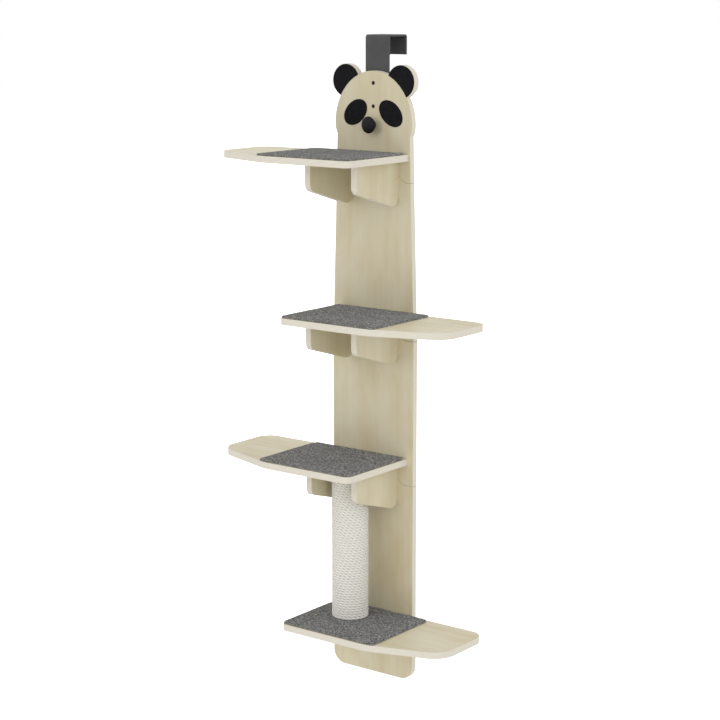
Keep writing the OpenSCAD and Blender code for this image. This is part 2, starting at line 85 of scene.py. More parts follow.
def srgb(red: int, green: int, blue: int) -> Colour:
    """Turns an sRGB colour into the linear one that shaders take.

    Args:
        red: Red, from 0 to 255.
        green: Green, from 0 to 255.
        blue: Blue, from 0 to 255.

    Returns:
        Linear red, green and blue, and an alpha of 1.
    """
    linear = []
    for part in (red / 255, green / 255, blue / 255):
        low = part / 12.92
        high = ((part + 0.055) / 1.055) ** 2.4
        linear.append(low if part <= 0.04045 else high)
    return (*linear, 1.0)


WHITE = srgb(255, 255, 255)


class SheetAxis(Enum):
    """Which way a plywood sheet lies: its grain, across its grain, and through it."""

    BOARD = (2, 0, 1)
    SHELF = (0, 1, 2)
    BRACKET = (2, 1, 0)


# Node trees


class Graph:
    """Adds nodes to one tree, and links them, with short calls."""

    def __init__(self, tree: bpy.types.NodeTree) -> None:
        """Keeps the tree that the nodes go into."""
        self.tree = tree

    def node(self, kind: str, inputs: Inputs | None = None, **settings: object) -> bpy.types.Node:
        """Adds a node.

        Args:
            kind: The node's type name.
            inputs: A value or another node's output for inputs, by name or place.
            **settings: The node's own properties.

        Returns:
            The new node.
        """
        made = self.tree.nodes.new(kind)
        for name, value in settings.items():
            setattr(made, name, value)
        self.fill(made, inputs or {})
        return made

    def out(self, kind: str, inputs: Inputs | None = None, **settings: object) -> Socket:
        """Adds a node and returns its first output."""
        return self.node(kind, inputs, **settings).outputs[0]

    def fill(self, node: bpy.types.Node, inputs: Inputs) -> None:
        """Feeds some of a node's inputs, by name or place."""
        for name, value in inputs.items():
            self.feed(node.inputs[name], value)

    def feed(self, socket: Socket, value: object) -> None:
        """Sets an input to a value, or links an output to it.

        Args:
            socket: The input.
            value: A plain value, or another node's output.
        """
        if isinstance(value, bpy.types.NodeSocket):
            self.tree.links.new(value, socket)
        else:
            socket.default_value = value

    def math(self, operation: str, first: object, second: object = 0.0) -> Socket:
        """Adds a Math node and returns its output."""
        return self.out("ShaderNodeMath", {0: first, 1: second}, operation=operation)

    def add(self, first: object, second: object) -> Socket:
        """Adds two values up."""
        return self.math("ADD", first, second)

    def times(self, first: object, second: object) -> Socket:
        """Multiplies two values."""
        return self.math("MULTIPLY", first, second)

    def total(self, *parts: tuple[object, object]) -> Socket:
        """Adds up values, each times its weight."""
        return reduce(self.add, [self.times(value, weight) for value, weight in parts])

    def vector(self, operation: str, first: object, second: object = (0, 0, 0)) -> Socket:
        """Adds a Vector Math node and returns its vector."""
        return self.out("ShaderNodeVectorMath", {0: first, 1: second}, operation=operation)

    def scaled(self, vector: Socket, scale: Point3) -> Socket:
        """Stretches a vector by a factor along each axis."""
        return self.vector("MULTIPLY", vector, scale)

    def split(self, vector: Socket) -> Sequence[Socket]:
        """Returns the three numbers of a vector."""
        return self.node("ShaderNodeSeparateXYZ", {0: vector}).outputs

    def join(self, *numbers: object) -> Socket:
        """Makes a vector of up to three numbers."""
        return self.out("ShaderNodeCombineXYZ", dict(enumerate(numbers)))

    def noise(self, vector: Socket, scale: object, detail: float = 2.0, rough: float = 0.5) -> Socket:
        """Adds a noise and returns its value, which lies round 0.5."""
        values = {"Vector": vector, "Scale": scale, "Detail": detail, "Roughness": rough}
        return self.out("ShaderNodeTexNoise", values)

    def attribute(self, name: str) -> Socket:
        """Reads a number that is stored on the mesh."""
        return self.node("ShaderNodeAttribute", attribute_name=name).outputs["Fac"]

    def remap(
        self, value: object, low: object, high: object, to_low: object = 0.0, to_high: object = 1.0
    ) -> Socket:
        """Maps one range of values smoothly onto another.

        Args:
            value: The value.
            low: Where its range starts.
            high: Where its range ends.
            to_low: The result at the start and before it.
            to_high: The result at the end and after it.

        Returns:
            The mapped value.
        """
        ranges = {0: value, 1: low, 2: high, 3: to_low, 4: to_high}
        return self.out("ShaderNodeMapRange", ranges, interpolation_type="SMOOTHSTEP")

    def mix(self, share: object, first: object, second: object, blend: str = "MIX") -> Socket:
        """Mixes two colours.

        Args:
            share: How much of the second colour shows.
            first: The first colour.
            second: The second colour.
            blend: How the second one goes over the first.

        Returns:
            The mixed colour.
        """
        values = {0: share, 6: first, 7: second}
        return self.node("ShaderNodeMix", values, data_type="RGBA", blend_type=blend).outputs[2]


class TreeKind(Enum):
    """What a named node tree is for."""

    SHADER = "ShaderNodeTree"
    GEOMETRY = "GeometryNodeTree"


class SocketKind(Enum):
    """The kinds of socket that named trees have."""

    COLOUR = "NodeSocketColor"
    VALUE = "NodeSocketFloat"
    WHOLE = "NodeSocketInt"
    VECTOR = "NodeSocketVector"
    GEOMETRY = "NodeSocketGeometry"
    OBJECT = "NodeSocketObject"
    MATERIAL = "NodeSocketMaterial"


Names = dict[SocketKind, tuple[str, ...]]

SURFACE_OUT: Names = {SocketKind.COLOUR: ("Colour",), SocketKind.VALUE: ("Roughness", "Height")}
FIBRES_OUT: Names = {SocketKind.COLOUR: ("Colour",), SocketKind.VALUE: ("Height",)}
GEOMETRY_OUT: Names = {SocketKind.GEOMETRY: ("Geometry",)}


def named_tree(
    name: str, kind: TreeKind, takes: Names, gives: Names
) -> tuple[Graph, Sequence[Socket], Sequence[Socket]]:
    """Starts a node tree with named sockets.

    Args:
        name: The tree's name.
        kind: What the tree is for.
        takes: The names of its inputs, by kind.
        gives: The names of its outputs, by kind.

    Returns:
        A graph on the tree, its inputs to read, and its outputs to feed.
    """
    tree = bpy.data.node_groups.new(name, kind.value)
    for in_out, sockets in (("INPUT", takes), ("OUTPUT", gives)):
        for socket_kind, labels in sockets.items():
            for label in labels:
                tree.interface.new_socket(label, in_out=in_out, socket_type=socket_kind.value)
    g = Graph(tree)
    return g, g.node("NodeGroupInput").outputs, g.node("NodeGroupOutput").inputs


class ShaderGroups:
    """The effects that several finishes share, each built once.

    The patterns of the veneer are given in repeats a metre: along the grain,
    across it, and through the sheet.
    """

    DRIFT = (0.9, 5.0, 5.0)
    STREAKS = (3.0, 60.0, 60.0)
    PORES = (28.0, 900.0, 900.0)
    CLOUDS = (5.0, 11.0, 11.0)
    PORE_TONE = srgb(150, 130, 96)
    PORE_SHARE = 0.14
    GLUE_TONE = srgb(150, 124, 94)
    GLUE_SHARE = 0.2
    LAYER_WOBBLE = 0.16
    TUFTS, SHADES, HAIRS = 240.0, 290.0, 1300.0
    PATCHES = 28.0
    # Share of pale colour painted on side faces as painted light
    SIDE_LIGHT_SHARE = 0.35
    CURL = (6 * MM, 6 * MM, 6 * MM)
    BRUSHED = (1.0, 0.55, 1.0)

    def __init__(self) -> None:
        """Builds every group."""
        self.grain = self._grain()
        self.fleck = self._fleck()
        self.grit = self._grit()

    def _grain(self) -> bpy.types.NodeTree:
        """Builds birch plywood: veneer on the faces, layers along the edges, painted shade in the seams
        between panels.

        Returns:
            The group.
        """
        takes = {
            SocketKind.VECTOR: ("Place",),
            SocketKind.VALUE: ("Edge", "Depth", "Layers", "Seam"),
            SocketKind.COLOUR: ("Pale", "Deep", "Edge Pale", "Edge Deep", "Seam Tone"),
        }
        g, given, sink = named_tree("birch_plywood", TreeKind.SHADER, takes, SURFACE_OUT)
        place = given["Place"]
        drift = g.noise(g.scaled(place, self.DRIFT), 1.0)
        streaks = g.noise(g.scaled(place, self.STREAKS), 1.0, 4.0, 0.6)
        clouds = g.noise(g.scaled(place, self.CLOUDS), 1.0, 3.0, 0.55)
        pores = g.remap(g.noise(g.scaled(place, self.PORES), 1.0), 0.3, 0.42, 1.0, 0.0)
        # Growth rings cut by the veneer knife: bands that wander along the grain
        rings = g.math("PINGPONG", g.total((streaks, 1.6), (drift, 22.0)), 1.0)
        tone = g.total((streaks, 0.26), (g.remap(rings, 0.55, 1.0), 0.03), (clouds, 0.8))
        veneer = g.mix(g.remap(tone, 0.34, 0.84), given["Pale"], given["Deep"])
        veneer = g.mix(g.times(pores, self.PORE_SHARE), veneer, self.PORE_TONE)

        wobble = g.noise(place, 40.0, 1.0)
        layer = g.total((given["Depth"], given["Layers"]), (wobble, self.LAYER_WOBBLE))
        across = g.math("PINGPONG", layer, 1.0)
        fibres = g.remap(g.noise(place, 260.0), 0.2, 0.7, 0.65, 1.0)
        end_grain = g.times(g.remap(across, 0.42, 0.58), fibres)
        layered = g.mix(end_grain, given["Edge Pale"], given["Edge Deep"])
        glue_at = g.math("ABSOLUTE", g.math("SUBTRACT", across, 0.5))
        glue = g.remap(glue_at, 0.03, 0.09, self.GLUE_SHARE, 0.0)
        layered = g.mix(glue, layered, self.GLUE_TONE)

        edge = given["Edge"]
        wood = g.mix(edge, veneer, layered)
        # Painted shade in the grooves where the board's panels meet
        g.feed(sink["Colour"], g.mix(given["Seam"], wood, given["Seam Tone"]))
        face_rough = g.remap(streaks, 0.2, 0.8, 0.42, 0.54)
        g.feed(sink["Roughness"], g.add(face_rough, g.times(edge, 0.2)))
        layer_relief = g.times(end_grain, -0.6)
        g.feed(sink["Height"], g.total((pores, -0.5), (layer_relief, edge), (streaks, 0.4)))
        return g.tree

    def _fleck(self) -> bpy.types.NodeTree:
        """Builds heathered fibres: a ground colour with pale and dark flecks, brushed one way, and painted
        light that makes the side faces paler.

        Returns:
            The group.
        """
        takes = {
            SocketKind.VECTOR: ("Place",),
            SocketKind.COLOUR: ("Ground", "Pale", "Dark"),
            SocketKind.VALUE: ("Pale Share", "Dark Share", "Cut"),
        }
        g, given, sink = named_tree("heathered_fibres", TreeKind.SHADER, takes, FIBRES_OUT)
        place = given["Place"]
        bent = g.node("ShaderNodeTexNoise", {"Vector": place, "Scale": 160.0, "Detail": 2.0})
        curled = g.vector("ADD", place, g.scaled(bent.outputs["Color"], self.CURL))
        brushed = g.scaled(curled, self.BRUSHED)
        scales = (self.TUFTS, self.SHADES, self.HAIRS)
        tufts, shades, hairs = (g.noise(brushed, scale, 2.0, 0.6) for scale in scales)
        pale = g.remap(g.total((tufts, 1.0), (g.noise(place, self.PATCHES), 0.12)), 0.55, 0.63)
        dark = g.remap(shades, 0.4, 0.5, 1.0, 0.0)
        colour = g.mix(g.times(pale, given["Pale Share"]), given["Ground"], given["Pale"])
        colour = g.mix(g.times(dark, given["Dark Share"]), colour, given["Dark"])
        # Painted light: side faces are mixed towards the pale colour
        colour = g.mix(g.times(given["Cut"], self.SIDE_LIGHT_SHARE), colour, given["Pale"])
        light = g.mix(hairs, srgb(60, 60, 60), WHITE)
        g.feed(sink["Colour"], g.mix(0.5, colour, light, "SOFT_LIGHT"))
        g.feed(sink["Height"], g.total((tufts, 1.4), (hairs, 1.0)))
        return g.tree

    def _grit(self) -> bpy.types.NodeTree:
        """Builds the fine unevenness of a coated, plated or moulded surface.

        Returns:
            The group.
        """
        takes = {
            SocketKind.VECTOR: ("Place",),
            SocketKind.VALUE: ("Scale", "Smooth", "Rough"),
            SocketKind.COLOUR: ("Light", "Dark"),
        }
        g, given, sink = named_tree("fine_surface", TreeKind.SHADER, takes, SURFACE_OUT)
        fine = g.noise(given["Place"], given["Scale"])
        broad = g.noise(given["Place"], 26.0, 3.0)
        spread = g.times(g.add(fine, broad), 0.5)
        rough = {0: spread, 1: 0.35, 2: 0.65, 3: given["Smooth"], 4: given["Rough"]}
        g.feed(sink["Colour"], g.mix(g.remap(broad, 0.3, 0.7), given["Dark"], given["Light"]))
        g.feed(sink["Roughness"], g.out("ShaderNodeMapRange", rough))
        g.feed(sink["Height"], fine)
        return g.tree


# Finishes


class Surface(Graph):
    """The graph of one new material, with its shader and its Object coordinates."""

    def __init__(self, name: str) -> None:
        """Starts the material.

        Args:
            name: The material's name.
        """
        self.material = bpy.data.materials.new(name)
        self.material.use_nodes = True
        super().__init__(self.material.node_tree)
        self.shader = self.tree.nodes["Principled BSDF"]
        self.place = self.node("ShaderNodeTexCoord").outputs["Object"]

    def effect(self, group: bpy.types.NodeTree, values: Inputs) -> Sequence[Socket]:
        """Places a shared effect, and gives its colour and roughness to the shader.

        Args:
            group: The effect's node group.
            values: Its inputs, by name.

        Returns:
            The effect's outputs.
        """
        given = self.node("ShaderNodeGroup", values, node_tree=group).outputs
        self.feed(self.shader.inputs["Base Color"], given["Colour"])
        if "Roughness" in given:
            self.feed(self.shader.inputs["Roughness"], given["Roughness"])
        return given

    def facing(self, axis: int) -> Socket:
        """Returns how squarely the surface faces one axis, from 0 to 1."""
        normal = self.node("ShaderNodeNewGeometry").outputs["Normal"]
        return self.math("ABSOLUTE", self.split(normal)[axis])

    def bump(self, height: Socket, depth: float, strength: float) -> None:
        """Feeds a height, in units of depth, to the shader's normal."""
        values = {"Height": height, "Distance": depth, "Strength": strength}
        self.feed(self.shader.inputs["Normal"], self.out("ShaderNodeBump", values))


@dataclass(frozen=True)
class Finish:
    """What every finish has: a name, and the name of its material slot."""

    name: str
    slot: str

    def build(self, groups: ShaderGroups) -> bpy.types.Material:
        """Builds the material.

        Args:
            groups: The shared effects.

        Returns:
            The new material.
        """
        surface = Surface(self.name)
        self.paint(surface, groups)
        return surface.material

    def paint(self, s: Surface, groups: ShaderGroups) -> None:
        """Wires the new material, in each finish's own way."""
        raise NotImplementedError


@dataclass(frozen=True)
class Plywood(Finish):
    """Clear-varnished birch plywood, for a sheet that lies one way."""

    axis: SheetAxis
    layers: float = 11.0
    pale: Colour = srgb(211, 204, 178)
    deep: Colour = srgb(196, 182, 146)
    edge_pale: Colour = srgb(223, 219, 206)
    edge_deep: Colour = srgb(208, 200, 183)
    # Painted shade for the grooves between the board's panels
    seam_tone: Colour = srgb(128, 112, 84)

    def paint(self, s: Surface, groups: ShaderGroups) -> None:
        """Lays veneer where the surface faces through the sheet, and layers elsewhere.

        Args:
            s: The new material.
            groups: The shared effects.
        """
        along, across, through = self.axis.value
        parts = s.split(s.place)
        values = {
            "Place": s.join(parts[along], parts[across], parts[through]),
            "Edge": s.remap(s.facing(through), 0.72, 0.95, 1.0, 0.0),
            "Depth": s.attribute(PLY_DEPTH),
            "Layers": self.layers,
            "Pale": self.pale,
            "Deep": self.deep,
            "Edge Pale": self.edge_pale,
            "Edge Deep": self.edge_deep,
            # Painted shade along the joints between panels
            "Seam": s.attribute(SEAM_SHADE),
            "Seam Tone": self.seam_tone,
        }
        wood = s.effect(groups.grain, values)
        s.fill(s.shader, {"Coat Weight": 0.12, "Coat Roughness": 0.35})
        s.bump(wood["Height"], 0.2 * MM, 0.5)


@dataclass(frozen=True)
class Fibres(Finish):
    """Carpet or felt: heathered fibres with a soft sheen, and painted light that makes the side faces
    paler.
    """

    through: int
    ground: Colour
    pale: Colour
    dark: Colour
    pale_share: float
    dark_share: float
    sheen: float
    relief: float

    def paint(self, s: Surface, groups: ShaderGroups) -> None:
        """Covers the surface with fibres.

        Args:
            s: The new material.
            groups: The shared effects.
        """
        values = {
            "Place": s.place,
            # Painted light on the faces that don't face through the slab
            "Cut": s.remap(s.facing(self.through), 0.3, 0.8, 1.0, 0.0),
            "Ground": self.ground,
            "Pale": self.pale,
            "Dark": self.dark,
            "Pale Share": self.pale_share,
            "Dark Share": self.dark_share,
        }
        fibres = s.effect(groups.fleck, values)
        s.fill(s.shader, {"Roughness": 0.95, "Specular IOR Level": 0.15})
        s.fill(s.shader, {"Sheen Weight": self.sheen, "Sheen Roughness": 0.2})
        s.bump(fibres["Height"], self.relief, 0.8)


@dataclass(frozen=True)
class Coated(Finish):
    """Paint, plating, foam or bare metal with a fine uneven surface."""

    light: Colour
    dark: Colour
    smooth: float
    rough: float
    metallic: float = 0.0
    scale: float = 900.0
    relief: float = 0.1 * MM
    gloss: float = 0.5

    def paint(self, s: Surface, groups: ShaderGroups) -> None:
        """Covers the surface with fine grit.

        Args:
            s: The new material.
            groups: The shared effects.
        """
        values = {
            "Place": s.place,
            "Scale": self.scale,
            "Light": self.light,
            "Dark": self.dark,
            "Smooth": self.smooth,
            "Rough": self.rough,
        }
        grit = s.effect(groups.grit, values)
        s.fill(s.shader, {"Metallic": self.metallic, "Specular IOR Level": self.gloss})
        s.bump(grit["Height"], self.relief, 0.6)


@dataclass(frozen=True)
class Rope(Finish):
    """Undyed cotton rope: fibres that follow the strands, with painted shade in the pits between turns."""

    pale: Colour = srgb(236, 234, 227)
    shade: Colour = srgb(224, 220, 211)
    # Painted shade for the pits between turns and strands
    groove: Colour = srgb(172, 167, 157)
    yarns_along: float = 160.0
    yarns_round: float = 24.0
    fuzz_scale: float = 1400.0
    wear_scale: float = 30.0

    def paint(self, s: Surface, groups: ShaderGroups) -> None:
        """Draws the fibres on the rope's own map: metres along, and once round.

        Args:
            s: The new material.
            groups: The shared effects, of which the rope needs none.
        """
        along, around, _ = s.split(s.out("ShaderNodeUVMap", uv_map=ROPE_MAP))
        crown = s.math("ABSOLUTE", s.math("COSINE", s.times(around, STRANDS * math.pi)))
        yarn_at = s.join(s.times(along, self.yarns_along), s.times(around, self.yarns_round))
        yarns = s.noise(yarn_at, 1.0, 3.0, 0.6)
        fuzz = s.noise(s.place, self.fuzz_scale, 2.0, 0.6)
        # Painted shade between the strands, strongest where the turns meet
        between = s.remap(s.attribute(ROPE_SIDE), 0.45, 1.0, 0.35, 1.0)
        pit = s.times(s.remap(crown, 0.1, 0.8, 1.0, 0.0), between)
        colour = s.mix(s.remap(yarns, 0.35, 0.7, 0.0, 0.8), self.pale, self.shade)
        colour = s.mix(pit, colour, self.groove)
        worn = s.remap(s.noise(s.place, self.wear_scale), 0.4, 0.7, 0.0, 0.25)
        s.fill(s.shader, {"Base Color": s.mix(worn, colour, self.shade), "Roughness": 0.9})
        s.fill(s.shader, {"Specular IOR Level": 0.2, "Sheen Weight": 0.25, "Sheen Roughness": 0.5})
        s.bump(s.total((yarns, 1.0), (fuzz, 0.7)), 0.6 * MM, 0.8)


@dataclass(frozen=True)
class PaperTube(Finish):
    """Grey-brown paper board, wound in a spiral."""

    pitch: float = 62 * MM
    deep: Colour = srgb(150, 126, 96)
    pale: Colour = srgb(178, 154, 122)
    seam_tone: Colour = srgb(96, 78, 56)

    def paint(self, s: Surface, groups: ShaderGroups) -> None:
        """Draws the board, with a fine dark seam that climbs round the tube.

        Args:
            s: The new material.
            groups: The shared effects, of which the tube needs none.
        """
        low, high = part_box("post_tube")
        to_axis = tuple((low + high) / -2)
        centred = s.out("ShaderNodeMapping", {"Vector": s.place, "Location": to_axis})
        x, y, z = s.split(centred)
        turn = s.math("DIVIDE", s.math("ARCTAN2", y, x), math.tau)
        climb = s.math("FRACT", s.add(s.math("DIVIDE", z, self.pitch), turn))
        pulp = s.noise(s.place, 240.0, 4.0, 0.65)
        board = s.mix(s.remap(pulp, 0.3, 0.7), self.deep, self.pale)
        seam = s.remap(climb, 0.0, 0.03, 0.7, 0.0)
        s.fill(s.shader, {"Base Color": s.mix(seam, board, self.seam_tone), "Roughness": 0.85})
        s.bump(pulp, 0.2 * MM, 0.5)


BOARD_PLY = Plywood("birch_board", "birch_ply", SheetAxis.BOARD)
SHELF_PLY = Plywood("birch_shelf", "birch_ply", SheetAxis.SHELF)
BRACKET_PLY = Plywood("birch_bracket", "birch_ply", SheetAxis.BRACKET)
CARPET = Fibres(
    "grey_carpet", "grey_carpet", 2, srgb(83, 83, 82), srgb(172, 171, 167), srgb(36, 36, 37),
    pale_share=0.8, dark_share=0.78, sheen=0.5, relief=3 * MM,
)
FELT = Fibres(
    "black_felt", "black_felt", 1, srgb(20, 20, 23), srgb(34, 34, 38), srgb(10, 10, 11),
    pale_share=0.4, dark_share=0.5, sheen=0.0, relief=0.4 * MM,
)
KNOB_PAINT = Coated(
    "black_paint", "black_knob", srgb(26, 25, 28), srgb(19, 18, 21), 0.46, 0.58, gloss=0.18
)
HOOK_COAT = Coated(
    "grey_powder_coat", "black_steel", srgb(72, 72, 73), srgb(64, 64, 65), 0.45, 0.58,
    scale=1500.0, gloss=0.35,
)
BOLT_BLACK = Coated(
    "blackened_steel", "bolt_steel", srgb(62, 54, 42), srgb(40, 34, 26), 0.35, 0.5, metallic=0.7
)
ZINC = Coated(
    "zinc_plate", "zinc_steel", srgb(186, 188, 192), srgb(160, 162, 166), 0.25, 0.42, metallic=1.0
)
FOAM = Coated(
    "black_foam", "foam", srgb(74, 74, 76), srgb(58, 58, 60), 0.85, 0.95,
    scale=2200.0, relief=0.5 * MM,
)
ROPE = Rope("cotton_rope", "cotton_rope")
PAPER = PaperTube("paper_tube", "card_tube")


class Finishes:
    """Builds each finish once, and puts it on pieces."""

    def __init__(self) -> None:
        """Builds the shared groups."""
        self.groups = ShaderGroups()
        self.made: dict[str, bpy.types.Material] = {}

    def material(self, finish: Finish) -> bpy.types.Material:
        """Gives a finish's material, which is built the first time.

        Args:
            finish: The finish.

        Returns:
            Its material.
        """
        if finish.name not in self.made:
            self.made[finish.name] = finish.build(self.groups)
        return self.made[finish.name]

    def dress(self, piece: bpy.types.Object, finish: Finish) -> None:
        """Gives a new piece its material and its body.

        Args:
            piece: The piece.
            finish: What it is covered with.
        """
        piece.data.materials.clear()
        piece.data.materials.append(self.material(finish))
        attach(piece, BODY)
        log.info("%s: %d faces", piece.name, len(piece.data.polygons))

    def redress(self, node: str, finish: Finish) -> None:
        """Gives a CAD node that stays a better material.

        Args:
            node: The CAD node's name.
            finish: What it is covered with.
        """
        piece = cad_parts[node]
        if not piece.material_slots:
            piece.data.materials.append(None)
        for held in piece.material_slots:
            held.material = self.material(finish)
        log.info("%s: kept from the CAD, in %s", node, finish.name)


# Mesh helpers


WELD = 0.004 * MM
FLAT_DEG = 0.4
ROUNDED_DEG = 32.0
SOFTENED_DEG = 35.0
KNOB_SHARP_DEG = 50.0
FASTENER_SHARP_DEG = 40.0


def added(name: str, data: bpy.types.ID) -> bpy.types.Object:
    """Puts a mesh, lamp or camera into the scene as an object at the origin.

    Args:
        name: The object's name.
        data: The mesh, lamp or camera.

    Returns:
        The new object.
    """
    piece = bpy.data.objects.new(name, data)
    bpy.context.scene.collection.objects.link(piece)
    return piece


def piece_from(bm: bmesh.types.BMesh, name: str) -> bpy.types.Object:
    """Makes a smooth piece of a mesh under construction, and frees that.

    Args:
        bm: The mesh under construction.
        name: The piece's name.

    Returns:
        The new piece, at the origin.
    """
    mesh = bpy.data.meshes.new(name)
    bm.to_mesh(mesh)
    bm.free()
    mesh.shade_smooth()
    return added(name, mesh)


def merged_mesh(node: str) -> bmesh.types.BMesh:
    """Copies a CAD node's mesh, with its loose triangles merged into flat faces.

    Args:
        node: The CAD node's name.

    Returns:
        A closed mesh with no leftover triangles on its flat sides.
    """
    bm = bmesh.new()
    bm.from_mesh(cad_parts[node].data)
    bmesh.ops.remove_doubles(bm, verts=bm.verts, dist=WELD)
    flat = math.radians(FLAT_DEG)
    bmesh.ops.dissolve_limit(
        bm, angle_limit=flat, verts=bm.verts, edges=bm.edges, use_dissolve_boundaries=False
    )
    return bm


def finished(piece: bpy.types.Object, sharp_deg: float | None = None) -> bpy.types.Object:
    """Applies a piece's modifiers, and smooths it if its modifiers didn't.

    Args:
        piece: The piece, with live modifiers.
        sharp_deg: Edges that turn by more than this stay sharp. With None, the
            shading stays as the modifiers left it.

    Returns:
        The same object, with a plain mesh.
    """
    graph = bpy.context.evaluated_depsgraph_get()
    graph.update()
    mesh = bpy.data.meshes.new_from_object(piece.evaluated_get(graph))
    piece.modifiers.clear()
    old = piece.data
    piece.data = mesh
    mesh.name = piece.name
    bpy.data.meshes.remove(old)
    if sharp_deg is not None:
        mesh.shade_smooth()
        mesh.set_sharp_from_angle(angle=math.radians(sharp_deg))
    return piece


def bevelled_copy(node: str, name: str, width: float, segments: int = 2) -> bpy.types.Object:
    """Copies a CAD node with its edges rounded.

    Args:
        node: The CAD node's name.
        name: The new piece's name.
        width: The width of the bevel, in metres.
        segments: How many steps the rounding has.

    Returns:
        The new piece, which stands for the node.
    """
    piece = piece_from(merged_mesh(node), name)
    bevel = piece.modifiers.new("rounded_edges", "BEVEL")
    bevel.width = width
    bevel.segments = segments
    bevel.limit_method = "ANGLE"
    bevel.angle_limit = math.radians(ROUNDED_DEG)
    bevel.use_clamp_overlap = True
    bevel.miter_outer = "MITER_ARC"
    flatter = piece.modifiers.new("flat_sides_stay_flat", "WEIGHTED_NORMAL")
    flatter.weight = 100
    finished(piece)
    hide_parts(node)
    return piece


def plywood_copy(node: str, finish: Plywood, width: float) -> bpy.types.Object:
    """Copies a plywood node with rounded edges, and marks how deep its points lie.

    Args:
        node: The CAD node's name.
        finish: Its plywood, which says how the sheet lies.
        width: The width of the bevel, in metres.

    Returns:
        The new piece, with each point's depth in the sheet, from 0 to 1.
    """
    piece = bevelled_copy(node, "ply_" + node, width)
    places = np.empty(len(piece.data.vertices) * 3, np.float32)
    piece.data.vertices.foreach_get("co", places)
    through = places.reshape(-1, 3)[:, finish.axis.value[2]]
    share = (through - through.min()) / float(np.ptp(through))
    attribute = piece.data.attributes.new(PLY_DEPTH, "FLOAT", "POINT")
    attribute.data.foreach_set("value", share.astype(np.float32))
    return piece


def mark_seams(piece: bpy.types.Object, axis: SheetAxis, others: Iterable[BVHTree], reach: float) -> None:
    """Marks the small faces along a sheet's joints with other sheets, for painted shade in the grooves
    there.

    Args:
        piece: The sheet, with its edges rounded.
        axis: How the sheet lies.
        others: The sheets that it may touch.
        reach: How near to another sheet a marked face lies, in metres.
    """
    flat_side = 0.97
    trees = list(others)

    def near(place: Vector) -> bool:
        """Tells whether a point lies near another sheet."""
        return any(tree.find_nearest(place, reach)[0] for tree in trees)

    at_seam = [near(vert.co) for vert in piece.data.vertices]
    marks = []
    for face in piece.data.polygons:
        tilted = abs(face.normal[axis.value[2]]) < flat_side
        marks.append(float(tilted and all(at_seam[i] for i in face.vertices) and near(face.center)))
    piece.data.attributes.new(SEAM_SHADE, "FLOAT", "FACE").data.foreach_set("value", marks)


def bridge(bm: bmesh.types.BMesh, low: Ring, high: Ring) -> None:
    """Joins two rings of as many points with faces.

    Args:
        bm: The mesh under construction.
        low: The first ring.
        high: The second ring.
    """
    for i in range(len(low)):
        j = (i + 1) % len(low)
        bm.faces.new((low[i], low[j], high[j], high[i]))


def islands(bm: bmesh.types.BMesh) -> list[Ring]:
    """Splits a mesh into its loose solids.

    Args:
        bm: The mesh.

    Returns:
        The vertices of each solid, in the order of the mesh.
    """
    found, seen = [], set()
    for start in bm.verts:
        if start in seen:
            continue
        group, queue = [], [start]
        seen.add(start)
        while queue:
            vert = queue.pop()
            group.append(vert)
            for edge in vert.link_edges:
                other = edge.other_vert(vert)
                if other not in seen:
                    seen.add(other)
                    queue.append(other)
        found.append(group)
    return found


# Soft slabs: mats and felt patches


@dataclass(frozen=True)
class Plane:
    """The plane a flat piece is drawn in, with its normal towards the viewer."""

    across: Vector
    along: Vector
    normal: Vector

    def flat(self, point: Vector) -> Point2:
        """Returns a point's two coordinates in the plane."""
        return (point.dot(self.across), point.dot(self.along))

    def place(self, flat: Point2, height: float) -> Vector:
        """Returns the point in space at a height over the frame's origin."""
        return self.across * flat[0] + self.along * flat[1] + self.normal * height


FLOOR_PLANE = Plane(RIGHT, BACK, UP)
BOARD_PLANE = Plane(RIGHT, UP, FRONT)


def outline_loops(node: str, plane: Plane) -> list[list[Point2]]:
    """Reads the outlines of a flat CAD solid's upper side.

    Args:
        node: The CAD node's name.
        plane: The plane the solid lies in.

    Returns:
        Closed loops with the solid on their left: the outline, then any holes.
    """
    upright, same_level = 0.99, 0.05 * MM
    bm = merged_mesh(node)
    level = max(v.co.dot(plane.normal) for v in bm.verts) - same_level
    faces = {
        f for f in bm.faces
        if f.normal.dot(plane.normal) > upright and f.calc_center_median().dot(plane.normal) > level
    }
    following = {}
    for loop in (loop for face in faces for loop in face.loops):
        if sum(other in faces for other in loop.edge.link_faces) == 1:
            following[loop.vert.index] = (loop.link_loop_next.vert.index, plane.flat(loop.vert.co))
    bm.free()
    loops = []
    while following:
        chain, at = [], next(iter(following))
        while at in following:
            at, place = following.pop(at)
            chain.append(place)
        loops.append(chain)
    return sorted(loops, key=lambda loop: -abs(loop_area(loop)))


def loop_area(loop: Sequence[Point2]) -> float:
    """Returns a loop's area, positive where it runs anticlockwise."""
    pairs = zip(loop, [*loop[1:], loop[0]])
    return sum(a[0] * b[1] - a[1] * b[0] for a, b in pairs) / 2


def resampled(loop: Sequence[Point2], step: float) -> list[Point2]:
    """Adds points to a loop so that no side is longer than a step.

    Args:
        loop: The loop.
        step: The longest that a side may be, in metres.

    Returns:
        The loop with its new points.
    """
    made = []
    for a, b in zip(loop, [*loop[1:], loop[0]]):
        parts = max(1, math.ceil(math.dist(a, b) / step))
        made += [(a[0] + (b[0] - a[0]) * i / parts, a[1] + (b[1] - a[1]) * i / parts) for i in range(parts)]
    return made


